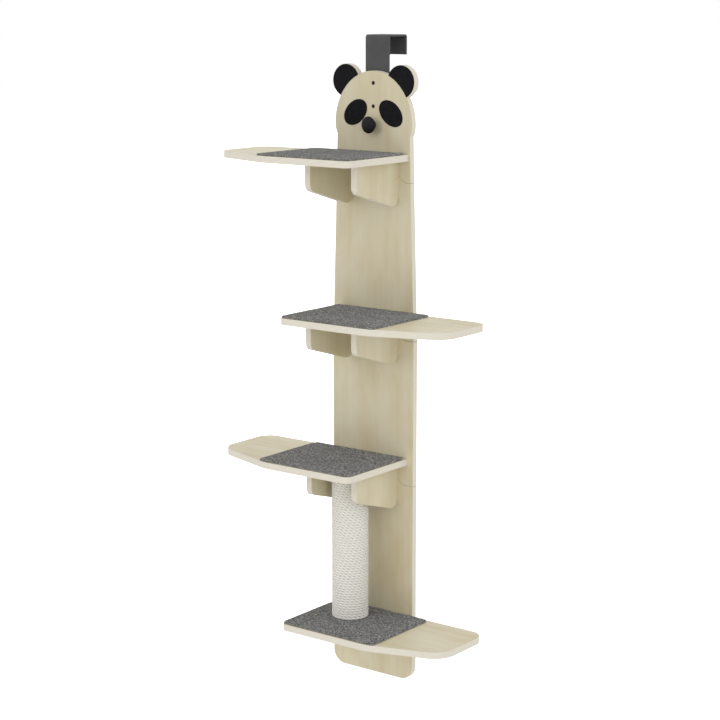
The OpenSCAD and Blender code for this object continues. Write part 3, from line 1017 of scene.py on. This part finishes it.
def inset(loop: Sequence[Point2], by: float) -> list[Point2]:
    """Moves each point of a loop to its left, square to its sides.

    Args:
        loop: The loop.
        by: How far the sides move, in metres.

    Returns:
        The moved points.
    """
    sharpest = 0.45
    made = []
    for i, point in enumerate(loop):
        before = Vector(point) - Vector(loop[i - 1])
        after = Vector(loop[(i + 1) % len(loop)]) - Vector(point)
        left_a = Vector((-before.y, before.x)).normalized()
        left_b = Vector((-after.y, after.x)).normalized()
        middle = (left_a + left_b).normalized()
        reach = by / max(middle.dot(left_a), sharpest)
        made.append((point[0] + middle.x * reach, point[1] + middle.y * reach))
    return made


def inside(points: np.ndarray, loop: Sequence[Point2]) -> np.ndarray:
    """Tells which points lie inside a loop, by counting the sides to their right.

    Args:
        points: The points, one in each row.
        loop: The loop.

    Returns:
        True or False for each point.
    """
    corners = np.array(loop)
    result = np.zeros(len(points), bool)
    for (ax, ay), (bx, by) in zip(corners, np.roll(corners, -1, axis=0)):
        if ay != by:
            crosses = (points[:, 1] < ay) != (points[:, 1] < by)
            at = ax + (points[:, 1] - ay) / (by - ay) * (bx - ax)
            result ^= crosses & (points[:, 0] < at)
    return result


@dataclass(frozen=True)
class SoftSlab:
    """A cut piece of carpet or felt with rounded, slightly uneven edges."""

    node: str
    name: str
    plane: Plane
    finish: Finish
    rests_on: str
    edge_r: float
    step: float
    tuft: float
    tuft_scale: float
    sway: float = 0.0
    sway_scale: float = 16.0
    edge_deg: tuple[float, ...] = (0, 35, 65, 90)
    scatter: float = 0.28
    margin: float = 0.6
    seed: int = 7

    def build(self, finishes: Finishes) -> None:
        """Args:
            finishes: Where its material comes from.
        """
        heights = [v.co.dot(self.plane.normal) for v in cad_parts[self.node].data.vertices]
        base, thick = min(heights), max(heights) - min(heights)
        loops = [resampled(loop, self.step) for loop in outline_loops(self.node, self.plane)]
        bm = bmesh.new()
        walls = [self._wall(bm, loop, base, thick) for loop in loops]
        self._cap(bm, [rings[-1] for rings in walls], base + thick, True)
        self._cap(bm, [rings[0] for rings in walls], base, False)
        self._roughen(bm, base, thick)
        bm.normal_update()
        piece = piece_from(bm, self.name)
        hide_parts(self.node)
        finishes.dress(piece, self.finish)
        width, depth = np.ptp(np.array(loops[0]), axis=0)
        area = float(sum(loop_area(loop) for loop in loops))

    def _wall(self, bm: bmesh.types.BMesh, loop: list[Point2], base: float, thick: float) -> list[Ring]:
        """Builds the side along one outline, rounded at its top.

        Args:
            bm: The mesh under construction.
            loop: The outline.
            base: The height of the underside.
            thick: The slab's thickness.

        Returns:
            The rings of vertices, from the underside to the top.
        """
        levels = [(0.0, 0.0)]
        for a in map(math.radians, self.edge_deg):
            levels.append((self.edge_r * (1 - math.cos(a)), thick - self.edge_r * (1 - math.sin(a))))
        rings = []
        for by, rise in levels:
            spots = inset(loop, by) if by > 0 else loop
            rings.append([bm.verts.new(self.plane.place(spot, base + rise)) for spot in spots])
        for low, high in zip(rings, rings[1:]):
            bridge(bm, low, high)
        return rings

    def _cap(self, bm: bmesh.types.BMesh, rims: list[Ring], height: float, filled: bool) -> None:
        """Closes one side of the slab, with a fine net of faces if it shows.

        Args:
            bm: The mesh under construction.
            rims: The outline's vertices and those of each hole.
            height: The side's height.
            filled: True for the side that shows, which gets inner points.
        """
        flats = [[self.plane.flat(v.co) for v in rim] for rim in rims]
        verts = [v for rim in rims for v in rim]
        edges, first = [], 0
        for flat in flats:
            edges += [(first + i, first + (i + 1) % len(flat)) for i in range(len(flat))]
            first += len(flat)
        extra = self._inner_points(flats) if filled else []
        spots = [Vector(p) for flat in [*flats, extra] for p in flat]
        outer = list(range(len(flats[0])))
        net = geometry.delaunay_2d_cdt(spots, edges, [outer], 1, 1e-9)
        places, _, faces, sources = net[:4]
        made = []
        for place, source in zip(places, sources):
            index = source[0] if source else len(spots)
            known = index < len(verts)
            made.append(verts[index] if known else bm.verts.new(self.plane.place(tuple(place), height)))
        centres = np.array([np.mean([tuple(places[i]) for i in face], axis=0) for face in faces])
        holed = np.zeros(len(faces), bool)
        for flat in flats[1:]:
            holed |= inside(centres, flat)
        for face, in_hole in zip(faces, holed):
            if not in_hole:
                corners = [made[i] for i in face]
                bm.faces.new(corners if filled else corners[::-1])

    def _inner_points(self, flats: list[list[Point2]]) -> list[Point2]:
        """Spreads points over the side, each moved a little off its place in a grid.

        Args:
            flats: The outline and the holes.

        Returns:
            The points.
        """
        (left, low), (right, high) = np.min(flats[0], axis=0), np.max(flats[0], axis=0)
        rows = np.meshgrid(np.arange(left, right, self.step), np.arange(low, high, self.step))
        grid = np.stack(rows, axis=-1).reshape(-1, 2)
        shift = np.random.default_rng(self.seed)
        grid += shift.uniform(-self.scatter, self.scatter, grid.shape) * self.step
        kept = inside(grid, inset(flats[0], self.margin * self.step))
        for flat in flats[1:]:
            kept &= ~inside(grid, inset(flat, self.margin * self.step))
        return [tuple(p) for p in grid[kept]]

    def _roughen(self, bm: bmesh.types.BMesh, base: float, thick: float) -> None:
        """Raises tufts on the upper side and lets the cut edges waver.

        Args:
            bm: The mesh.
            base: The height of the underside.
            thick: The slab's thickness.
        """
        finer, finer_share, edge_share = 2.3, 0.5, 0.6
        lowest_rise, least_sideways = 0.05, 0.3
        up = self.plane.normal
        bm.normal_update()
        for vert in bm.verts:
            rise = (vert.co.dot(up) - base) / thick
            if rise < lowest_rise:
                continue
            at = vert.co * self.tuft_scale
            tuft = (noise.noise(at) + finer_share * noise.noise(at * finer)) * self.tuft
            swell = noise.noise(vert.co * self.sway_scale) * self.sway
            sideways = vert.normal - up * vert.normal.dot(up)
            vert.co += up * ((tuft + swell) * rise)
            if sideways.length > least_sideways:
                vert.co += sideways * (tuft * edge_share)


# Sub-assemblies


@dataclass
class Assembly:
    """A group of pieces that is built in one go."""

    finishes: Finishes

    def build(self) -> None:
        """Builds and dresses every piece of the group."""
        raise NotImplementedError


@dataclass
class PlywoodParts(Assembly):
    """The board's four panels, the four shelves and the six brackets."""

    bevel: float = 0.9 * MM
    seam_reach: float = 1.35 * MM
    panels: tuple[str, ...] = ("head_panel", "upper_panel", "middle_panel", "lower_panel")
    shelves: tuple[str, ...] = ("shelf_1", "shelf_2", "shelf_3", "shelf_4")
    brackets: tuple[str, ...] = (
        "bracket_1_left", "bracket_1_right", "bracket_2_left",
        "bracket_2_right", "bracket_3_left", "bracket_3_right",
    )

    def build(self) -> None:
        """Builds every plywood piece, with rounded edges and layers along them."""
        sheets = ((self.panels, BOARD_PLY), (self.shelves, SHELF_PLY), (self.brackets, BRACKET_PLY))
        for nodes, finish in sheets:
            for node in nodes:
                piece = plywood_copy(node, finish, self.bevel)
                # Panels get a mask for painted shade along their joints
                if finish is BOARD_PLY:
                    mark_seams(piece, finish.axis, self._other_panels(node), self.seam_reach)
                self.finishes.dress(piece, finish)

    def _other_panels(self, node: str) -> Iterable[BVHTree]:
        """Gives a search tree of each panel but one.

        Args:
            node: The panel that is left out.

        Returns:
            The trees, one after another.
        """
        for other in self.panels:
            if other != node:
                bm = merged_mesh(other)
                yield BVHTree.FromBMesh(bm)
                bm.free()


@dataclass
class Face(Assembly):
    """The felt patches, and the turned nose knob with its screw."""

    felt_edge: float = 0.6 * MM
    felt_step: float = 1.6 * MM
    felt_tuft: float = 0.05 * MM
    knob_turns: int = 96
    knob_steps: int = 14
    foot_share: float = 17 / 38
    foot_rise: float = 0.8 * MM
    rim_share: float = 19.5 / 23.5
    rim_round: float = 1.6 * MM
    rounding_deg: tuple[float, ...] = (15, 30, 45, 60, 75, 90)
    dome_power: float = 1.4
    cove: Point2 = (0.42 * MM, 0.525 * MM)
    patches: tuple[str, ...] = ("left_ear_patch", "right_ear_patch", "left_eye_patch", "right_eye_patch")

    def build(self) -> None:
        """Builds the patches and the knob, and dresses the screw."""
        for node in self.patches:
            SoftSlab(
                node, "felt_" + node, BOARD_PLANE, FELT, "ply_head_panel",
                self.felt_edge, self.felt_step, self.felt_tuft, tuft_scale=500.0,
            ).build(self.finishes)
        low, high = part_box("nose_knob")
        size = high - low
        foot = Vector(((low.x + high.x) / 2, high.y, (low.z + high.z) / 2))
        piece = lathed("turned_nose_knob", self._profile(size.x / 2, size.y), foot, self.knob_turns)
        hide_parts("nose_knob")
        self.finishes.dress(piece, KNOB_PAINT)
        self.finishes.redress("nose_screw", ZINC)

    def _profile(self, rim: float, length: float) -> list[Point2]:
        """Draws the knob's profile as radius and distance from the board.

        The flare leaves the foot in a shallow cove and runs out to the rim,
        which turns over into a low dome.

        Args:
            rim: The knob's largest radius.
            length: The knob's whole length.

        Returns:
            Points from the axis at the board to the axis at the front.
        """
        foot, rim_at = rim * self.foot_share, length * self.rim_share
        crown, flare_end = rim - self.rim_round, rim_at - self.rim_round
        shares = [i / self.knob_steps for i in range(1, self.knob_steps + 1)]
        points: list[Point2] = [(0.0, 0.0), (foot, 0.0), (foot, self.foot_rise)]
        for share in shares:
            bow = math.sin(math.pi * share)
            radius = foot + (rim - foot) * share
            ahead = self.foot_rise + (flare_end - self.foot_rise) * share
            points.append((radius - self.cove[0] * bow, ahead + self.cove[1] * bow))
        for a in map(math.radians, self.rounding_deg):
            points.append((crown + self.rim_round * math.cos(a), flare_end + self.rim_round * math.sin(a)))
        for a in (share * math.pi / 2 for share in shares):
            rise = math.sin(a) ** self.dome_power
            points.append((crown * math.cos(a), rim_at + (length - rim_at) * rise))
        points[-1] = (0.0, length)
        return points


def lathed(name: str, profile: Sequence[Point2], centre: Vector, turns: int) -> bpy.types.Object:
    """Turns a profile round an axis that points to the front.

    Args:
        name: The piece's name.
        profile: Radius and distance pairs, which start and end on the axis.
        centre: Where the axis starts.
        turns: How many sides the turned shape has.

    Returns:
        A closed, smooth piece.
    """
    bm = bmesh.new()
    rings = []
    for radius, ahead in profile[1:-1]:
        ring = []
        for a in (math.tau * i / turns for i in range(turns)):
            outward = RIGHT * radius * math.cos(a) + UP * radius * math.sin(a)
            ring.append(bm.verts.new(centre + FRONT * ahead + outward))
        rings.append(ring)
    first, last = (bm.verts.new(centre + FRONT * profile[i][1]) for i in (0, -1))
    for low, high in zip(rings, rings[1:]):
        bridge(bm, low, high)
    for i in range(turns):
        j = (i + 1) % turns
        bm.faces.new((first, rings[0][j], rings[0][i]))
        bm.faces.new((last, rings[-1][i], rings[-1][j]))
    bmesh.ops.recalc_face_normals(bm, faces=bm.faces)
    piece = piece_from(bm, name)
    piece.data.set_sharp_from_angle(angle=math.radians(KNOB_SHARP_DEG))
    return piece


@dataclass
class Mats(Assembly):
    """The four grey carpet mats."""

    edge_r: float = 1.4 * MM
    step: float = 1.9 * MM
    tuft: float = 0.55 * MM
    tuft_scale: float = 260.0
    sway: float = 0.5 * MM

    def build(self) -> None:
        """Builds each mat on its shelf."""
        for i in (1, 2, 3, 4):
            SoftSlab(
                f"mat_{i}", f"carpet_mat_{i}", FLOOR_PLANE, CARPET, f"ply_shelf_{i}",
                self.edge_r, self.step, self.tuft, self.tuft_scale, self.sway,
            ).build(self.finishes)


@dataclass
class ScratchingPost(Assembly):
    """The post: its tube, discs, inserts and bolts, and the rope wound round it."""

    disc_bevel: float = 0.4 * MM
    rope_r: float = 3.0 * MM
    squeeze: float = 1.32
    flatten: float = 0.85
    groove: float = 0.2
    marks_per_turn: float = 23.2
    turns: int = 58
    crossing: float = 0.2
    rings_per_turn: int = 130
    sides: int = 12
    tuck: float = 5 * MM
    tuck_run: float = 20 * MM
    start_deg: float = 126.0
    weld: float = 0.02 * MM

    def build(self) -> None:
        """Winds the rope, and dresses what is inside the post."""
        self.finishes.redress("post_tube", PAPER)
        for node in ("post_top_disc", "post_bottom_disc"):
            self.finishes.dress(plywood_copy(node, SHELF_PLY, self.disc_bevel), SHELF_PLY)
        for node in ("post_inserts", "post_bolts"):
            self.finishes.redress(node, ZINC)
        piece = self._wind()
        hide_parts("rope_winding")
        self.finishes.dress(piece, ROPE)

    def _wind(self) -> bpy.types.Object:
        """Runs the rope's node tree, and closes the rope's two cut ends.

        Returns:
            The rope as a plain mesh.
        """
        low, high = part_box("rope_winding")
        tube_low, tube_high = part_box("post_tube")
        axis = (tube_low + tube_high) / 2
        half_width = self.rope_r * self.squeeze
        axis_r = (high.x - low.x) / 2 - self.rope_r * self.flatten
        piece = added("post_rope", bpy.data.meshes.new("post_rope"))
        run_tree(piece, self._tree(), {
            "Turns": self.turns - self.crossing,
            "Pitch": (high.z - low.z - 2 * half_width) / (self.turns - 1),
            "Crossing": self.crossing,
            "Axis Radius": axis_r,
            "Rope Radius": self.rope_r,
            "Squeeze": self.squeeze,
            "Flatten": self.flatten,
            "Groove": self.groove,
            "Lay": math.tau * axis_r * STRANDS / self.marks_per_turn,
            "Rings per Turn": self.rings_per_turn,
            "Sides": self.sides,
            "Tuck": self.tuck,
            "Tuck Run": self.tuck_run,
            "Start": math.radians(self.start_deg),
            "Foot": (axis.x, axis.y, low.z + half_width),
            "Material": self.finishes.material(ROPE),
        })
        finished(piece, 180.0)
        bm = bmesh.new()
        bm.from_mesh(piece.data)
        bmesh.ops.holes_fill(bm, edges=[e for e in bm.edges if e.is_boundary], sides=0)
        bmesh.ops.recalc_face_normals(bm, faces=bm.faces)
        bm.to_mesh(piece.data)
        bm.free()
        return piece

    def _tree(self) -> bpy.types.NodeTree:
        """Builds the tree that sweeps a three-lobed section along the winding.

        The section's first and last point coincide, so its map runs once round
        without a jump, and merging them closes the rope.

        Returns:
            The node tree, with a named input for each size.
        """
        takes = {
            SocketKind.VALUE: (
                "Turns", "Pitch", "Crossing", "Axis Radius", "Rope Radius", "Squeeze",
                "Flatten", "Groove", "Lay", "Tuck", "Tuck Run", "Start",
            ),
            SocketKind.WHOLE: ("Rings per Turn", "Sides"),
            SocketKind.VECTOR: ("Foot",),
            SocketKind.MATERIAL: ("Material",),
        }
        g, size, sink = named_tree("rope_winding", TreeKind.GEOMETRY, takes, GEOMETRY_OUT)
        line, along, middle = self._line(g, size)
        ring, around = self._section(g, size)
        swept = g.out("GeometryNodeCurveToMesh", {"Curve": line, "Profile Curve": ring})
        mapped = g.out(
            "GeometryNodeStoreNamedAttribute",
            {"Geometry": swept, "Name": ROPE_MAP, "Value": g.join(along, around)},
            data_type="FLOAT2",
            domain="CORNER",
        )
        # Pressed turns are wider along the post than they are thick
        off = g.vector("SUBTRACT", g.out("GeometryNodeInputPosition"), middle)
        half_turn = g.math("DIVIDE", size["Pitch"], g.times(size["Squeeze"], 2.0))
        side = g.math("DIVIDE", g.math("ABSOLUTE", g.split(off)[2]), half_turn)
        marked = g.out(
            "GeometryNodeStoreNamedAttribute",
            {"Geometry": mapped, "Name": ROPE_SIDE, "Value": side},
            data_type="FLOAT",
            domain="POINT",
        )
        thinner, wider = (g.math("SUBTRACT", size[name], 1.0) for name in ("Flatten", "Squeeze"))
        change = g.vector("MULTIPLY", off, g.join(thinner, thinner, wider))
        pressed = g.out("GeometryNodeSetPosition", {"Geometry": marked, "Offset": change})
        closed = g.out("GeometryNodeMergeByDistance", {"Geometry": pressed, "Distance": self.weld})
        moved = g.out("GeometryNodeTransform", {"Geometry": closed, "Translation": size["Foot"]})
        end_tree(g, moved, size["Material"], sink)
        return g.tree

    @staticmethod
    def _line(g: Graph, size: Sequence[Socket]) -> tuple[Socket, Socket, Socket]:
        """Builds the line that the rope follows round the post.

        Args:
            g: The graph.
            size: The tree's inputs.

        Returns:
            The curve, and for each of its points the length so far and its place.
        """
        round_post = {
            "Resolution": size["Rings per Turn"],
            "Rotations": size["Turns"],
            "Start Radius": size["Axis Radius"],
            "End Radius": size["Axis Radius"],
            "Height": 0.0,
        }
        spiral = g.out("GeometryNodeCurveSpiral", round_post)
        start = {"Geometry": spiral, "Rotation": g.join(0.0, 0.0, size["Start"])}
        turned = g.out("GeometryNodeTransform", start)
        spline = g.node("GeometryNodeSplineParameter").outputs
        length = spline["Length"]
        # Both ends are tucked in under the rope beside them
        whole = g.math("DIVIDE", length, g.math("MAXIMUM", spline["Factor"], 1e-6))
        to_end = g.math("MINIMUM", length, g.math("SUBTRACT", whole, length))
        tucked = g.remap(to_end, 0.0, size["Tuck Run"], size["Tuck"], 0.0)
        outward = g.vector("NORMALIZE", g.scaled(g.out("GeometryNodeInputPosition"), (1, 1, 0)))
        by = {0: outward, "Scale": g.times(tucked, -1.0)}
        inward = g.out("ShaderNodeVectorMath", by, operation="SCALE")
        # Each turn lies level, and the rope climbs to the next one in a short crossing
        at = g.times(spline["Factor"], size["Turns"])
        climb = g.remap(g.math("FRACT", at), g.math("SUBTRACT", 1.0, size["Crossing"]), 1.0)
        lift = g.times(g.add(g.math("FLOOR", at), climb), size["Pitch"])
        offset = g.vector("ADD", inward, g.join(0.0, 0.0, lift))
        bent = g.out("GeometryNodeSetPosition", {"Geometry": turned, "Offset": offset})
        upright = g.out("GeometryNodeSetCurveNormal", {"Curve": bent}, mode="Z_UP")
        tilt = g.times(g.math("DIVIDE", length, size["Lay"]), math.tau)
        twisted = g.out("GeometryNodeSetCurveTilt", {"Curve": upright, "Tilt": tilt})
        kept = g.node("GeometryNodeCaptureAttribute", {"Geometry": twisted})
        kept.capture_items.new("FLOAT", "Along")
        kept.capture_items.new("VECTOR", "Middle")
        g.fill(kept, {1: length, 2: g.out("GeometryNodeInputPosition")})
        return kept.outputs[0], kept.outputs[1], kept.outputs[2]

    @staticmethod
    def _section(g: Graph, size: Sequence[Socket]) -> tuple[Socket, Socket]:
        """Builds the rope's section, with a lobe for each strand.

        Args:
            g: The graph.
            size: The tree's inputs.

        Returns:
            The curve, and for each of its points the share of the way round.
        """
        start = g.out("GeometryNodeCurvePrimitiveLine", {"Start": (0, 0, 0), "End": (1, 0, 0)})
        count = g.add(size["Sides"], 1.0)
        corners = g.out("GeometryNodeResampleCurve", {"Curve": start, "Count": count})
        share = g.node("GeometryNodeSplineParameter").outputs["Factor"]
        angle = g.times(share, math.tau)
        lobe = g.math("ABSOLUTE", g.math("COSINE", g.times(angle, STRANDS / 2)))
        hollow = g.times(g.math("SUBTRACT", 1.0, lobe), size["Groove"])
        radius = g.times(size["Rope Radius"], g.math("SUBTRACT", 1.0, hollow))
        spot = g.join(g.times(radius, g.math("COSINE", angle)), g.times(radius, g.math("SINE", angle)))
        section = g.out("GeometryNodeSetPosition", {"Geometry": corners, "Position": spot})
        kept = g.node("GeometryNodeCaptureAttribute", {"Geometry": section})
        kept.capture_items.new("FLOAT", "Round")
        g.fill(kept, {1: share})
        return kept.outputs[0], kept.outputs[1]


def end_tree(g: Graph, made: Socket, material: Socket, sink: Sequence[Socket]) -> None:
    """Ends a tree in Realize Instances and Set Material.

    Args:
        g: The graph.
        made: The geometry that it made.
        material: The material to set.
        sink: The tree's outputs.
    """
    real = g.out("GeometryNodeRealizeInstances", {"Geometry": made})
    dressed = g.out("GeometryNodeSetMaterial", {"Geometry": real, "Material": material})
    g.feed(sink["Geometry"], dressed)


def run_tree(piece: bpy.types.Object, tree: bpy.types.NodeTree, values: dict[str, object]) -> None:
    """Puts a node tree on a piece, and sets its inputs by each socket's identifier.

    Args:
        piece: The piece.
        tree: The tree.
        values: What its inputs are set to, by name.
    """
    modifier = piece.modifiers.new(tree.name, "NODES")
    modifier.node_group = tree
    for item in tree.interface.items_tree:
        if item.item_type == "SOCKET" and item.in_out == "INPUT" and item.name in values:
            modifier[item.identifier] = values[item.name]


@dataclass(frozen=True)
class FastenerSet:
    """Identical screws or bolts, one at each place of a CAD node's solids."""

    node: str
    name: str
    finish: Finish
    head_face: Vector
    bevel: float
    seed: int

    def build(self, finishes: Finishes) -> None:
        """Copies the node's first solid to every place, each with its own spin.

        Args:
            finishes: Where the material comes from.
        """
        bm = merged_mesh(self.node)
        solids = islands(bm)
        seats = [self._seat(solid) for solid in solids]
        pattern = self._pattern(bm, solids[0], Vector(seats[0]))
        mesh = bpy.data.meshes.new(self.name)
        mesh.from_pydata(seats, [], [])
        piece = added(self.name, mesh)
        run_tree(piece, self._tree(), {
            "Fastener": pattern,
            "Turn": tuple(UP.rotation_difference(self.head_face).to_euler()),
            "Seed": self.seed,
            "Material": finishes.material(self.finish),
        })
        finished(piece, FASTENER_SHARP_DEG)
        bpy.data.objects.remove(pattern)
        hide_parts(self.node)
        finishes.dress(piece, self.finish)

    def _seat(self, solid: Ring) -> Point3:
        """Finds the middle of a fastener's head, on its outer face.

        Args:
            solid: The fastener's vertices.

        Returns:
            The place.
        """
        places = np.array([tuple(v.co) for v in solid])
        middle, half = (places.min(0) + places.max(0)) / 2, np.ptp(places, axis=0) / 2
        return tuple(middle + half * np.array(self.head_face))

    def _pattern(self, bm: bmesh.types.BMesh, solid: Ring, seat: Vector) -> bpy.types.Object:
        """Makes the fastener that is copied: it stands on the origin and points down.

        Args:
            bm: The node's merged mesh, which is freed.
            solid: The vertices of the solid to copy.
            seat: The middle of its head's face.

        Returns:
            The fastener, with softened edges.
        """
        keep = set(solid)
        bmesh.ops.delete(bm, geom=[v for v in bm.verts if v not in keep], context="VERTS")
        back = UP.rotation_difference(self.head_face).to_matrix().inverted()
        for vert in bm.verts:
            vert.co = back @ (vert.co - seat)
        piece = piece_from(bm, self.name + "_pattern")
        bevel = piece.modifiers.new("softened", "BEVEL")
        bevel.width = self.bevel
        bevel.segments = 2
        bevel.limit_method = "ANGLE"
        bevel.angle_limit = math.radians(SOFTENED_DEG)
        return finished(piece, FASTENER_SHARP_DEG)

    @staticmethod
    def _tree() -> bpy.types.NodeTree:
        """Builds, or finds, the tree that puts a fastener at each point.

        Returns:
            The node tree, with named inputs.
        """
        found = bpy.data.node_groups.get("fastener_set")
        if found:
            return found
        takes = {
            SocketKind.GEOMETRY: ("Geometry",),
            SocketKind.OBJECT: ("Fastener",),
            SocketKind.VECTOR: ("Turn",),
            SocketKind.WHOLE: ("Seed",),
            SocketKind.MATERIAL: ("Material",),
        }
        g, size, sink = named_tree("fastener_set", TreeKind.GEOMETRY, takes, GEOMETRY_OUT)
        points = g.out("GeometryNodeMeshToPoints", {"Mesh": size["Geometry"]})
        fastener = g.node("GeometryNodeObjectInfo", {"Object": size["Fastener"]}).outputs["Geometry"]
        stood = {"Points": points, "Instance": fastener, "Rotation": size["Turn"]}
        placed = g.out("GeometryNodeInstanceOnPoints", stood)
        between = {2: 0.0, 3: math.pi, "Seed": size["Seed"]}
        spin = g.node("FunctionNodeRandomValue", between, data_type="FLOAT").outputs[1]
        turned = {"Instances": placed, "Rotation": g.join(0.0, 0.0, spin), "Local Space": True}
        end_tree(g, g.out("GeometryNodeRotateInstances", turned), size["Material"], sink)
        return g.tree


@dataclass
class DoorHook(Assembly):
    """The steel strap, its foam pads, and the foam pads on the board's back."""

    strap_bevel: float = 0.3 * MM
    pad_bevel: float = 0.7 * MM
    steps: int = 3

    def build(self) -> None:
        """Builds the strap and every pad."""
        strap = bevelled_copy("over_door_hook", "steel_strap", self.strap_bevel, self.steps)
        self.finishes.dress(strap, HOOK_COAT)
        for node in ("hook_pads", "back_pads"):
            pads = bevelled_copy(node, "foam_" + node, self.pad_bevel, self.steps)
            self.finishes.dress(pads, FOAM)


@dataclass
class Fasteners(Assembly):
    """Every screw and bolt that is not part of another sub-assembly."""

    screw_bevel: float = 0.15 * MM
    bolt_bevel: float = 0.2 * MM

    def build(self) -> None:
        """Builds the screws behind the board, under the mats, and the hook's bolts."""
        for made in (
            FastenerSet("shelf_rear_screws", "screws_shelf_rear", ZINC, BACK, self.screw_bevel, 3),
            FastenerSet("bracket_rear_screws", "screws_bracket_rear", ZINC, BACK, self.screw_bevel, 5),
            FastenerSet("bracket_top_screws", "screws_bracket_top", ZINC, UP, self.screw_bevel, 8),
            FastenerSet("hook_bolts", "bolts_hook", BOLT_BLACK, FRONT, self.bolt_bevel, 2),
        ):
            made.build(self.finishes)


# Stage


@dataclass(frozen=True)
class Lamp:
    """A round soft lamp: where it hangs, what it faces, its width and its watts."""

    name: str
    place: Point3
    aim: Point3
    size: float
    power: float

    def build(self) -> None:
        """Hangs the lamp where the camera doesn't see it."""
        data = bpy.data.lights.new(self.name, "AREA")
        data.shape = "DISK"
        data.size = self.size
        data.energy = self.power
        lamp = added(self.name, data)
        lamp.location = self.place
        lamp.visible_camera = False
        lamp.rotation_euler = (Vector(self.aim) - lamp.location).to_track_quat("-Z", "Y").to_euler()


@dataclass
class Studio:
    """Camera, lamps, world and floor: soft light on the front, from the upper left."""

    camera_at: Point3 = (2.5825, -3.4804, 0.0967)
    camera_azimuth: float = 37.36
    camera_down: float = 10.94
    lens: float = 95.0
    sensor: float = 36.0
    sight: float = 100.0
    floor_z: float = -2.0
    floor_reach: float = 30.0
    floor_shown: float = 1.3
    ambient: float = 0.92
    lamps: tuple[Lamp, ...] = (
        Lamp("key", (-1.6, -4.2, 1.5), (0, -0.1, -0.7), 3.2, 24.0),
        Lamp("fill_right", (4.4, -1.8, 0.4), (0, -0.1, -0.7), 3.0, 25.0),
        Lamp("fill_low", (0.9, -3.2, -1.9), (0, -0.1, -0.7), 2.4, 12.0),
        Lamp("rear", (2.4, 4.0, 1.4), (0, 0, -0.7), 3.0, 12.0),
    )

    def build(self) -> None:
        """Sets the stage."""
        self._camera()
        for lamp in self.lamps:
            lamp.build()
        self._world()
        self._floor()
        bpy.context.scene.view_settings.view_transform = "Standard"

    def _camera(self) -> None:
        """Puts the camera where the photograph was taken from."""
        data = bpy.data.cameras.new("camera")
        data.lens = self.lens
        data.sensor_width = self.sensor
        data.clip_end = self.sight
        camera = added("camera", data)
        camera.location = self.camera_at
        tilt, turn = math.radians(90 - self.camera_down), math.radians(self.camera_azimuth)
        camera.rotation_euler = (tilt, 0.0, turn)
        bpy.context.scene.camera = camera

    def _world(self) -> None:
        """Gives soft light from all round, and white behind what the camera sees."""
        world = bpy.data.worlds.new("studio")
        bpy.context.scene.world = world
        world.use_nodes = True
        g = Graph(world.node_tree)
        path = g.node("ShaderNodeLightPath").outputs
        mirrored = g.math("MAXIMUM", path["Is Glossy Ray"], path["Is Transmission Ray"])
        seen = g.math("MAXIMUM", path["Is Camera Ray"], mirrored)
        strength = g.out("ShaderNodeMapRange", {0: seen, 3: self.ambient, 4: 1.0})
        g.fill(g.tree.nodes["Background"], {"Color": WHITE, "Strength": strength})

    def _floor(self) -> None:
        """Lays a wide white floor that keeps the climber's shadow.

        Seen from below it is clear, so that it never hides the climber.
        """
        bm = bmesh.new()
        bmesh.ops.create_grid(bm, x_segments=1, y_segments=1, size=self.floor_reach)
        for vert in bm.verts:
            vert.co.z = self.floor_z
        floor = piece_from(bm, "floor")
        s = Surface("white_floor")
        s.fill(s.shader, {"Base Color": srgb(240, 240, 240), "Roughness": 0.9})
        s.fill(s.shader, {"Specular IOR Level": 0.0})
        level = s.scaled(s.place, (1, 1, 0))
        away = s.node("ShaderNodeVectorMath", {0: level}, operation="LENGTH").outputs["Value"]
        plain = s.remap(away, self.floor_shown, 2 * self.floor_shown, 0.35, 1.0)
        seen = s.node("ShaderNodeLightPath").outputs["Is Camera Ray"]
        lift = s.out("ShaderNodeEmission", {"Color": WHITE, "Strength": s.times(seen, plain)})
        lit = s.out("ShaderNodeAddShader", {0: s.shader.outputs[0], 1: lift})
        behind = s.node("ShaderNodeNewGeometry").outputs["Backfacing"]
        sides = {0: behind, 1: lit, 2: s.out("ShaderNodeBsdfTransparent")}
        s.fill(s.tree.nodes["Material Output"], {"Surface": s.out("ShaderNodeMixShader", sides)})
        floor.data.materials.append(s.material)


def write_sizes() -> None:
    """Updates the view layer."""
    bpy.context.view_layer.update()


def main() -> None:
    """Builds the stage and every sub-assembly in order."""
    logging.basicConfig(level=logging.INFO, format="%(name)s: %(message)s")
    finishes = Finishes()
    Studio().build()
    for assembly in (PlywoodParts, Face, Mats, ScratchingPost, DoorHook, Fasteners):
        assembly(finishes).build()
        log.info("built %s", assembly.__name__)
    write_sizes()


if __name__ == "__main__":
    main()
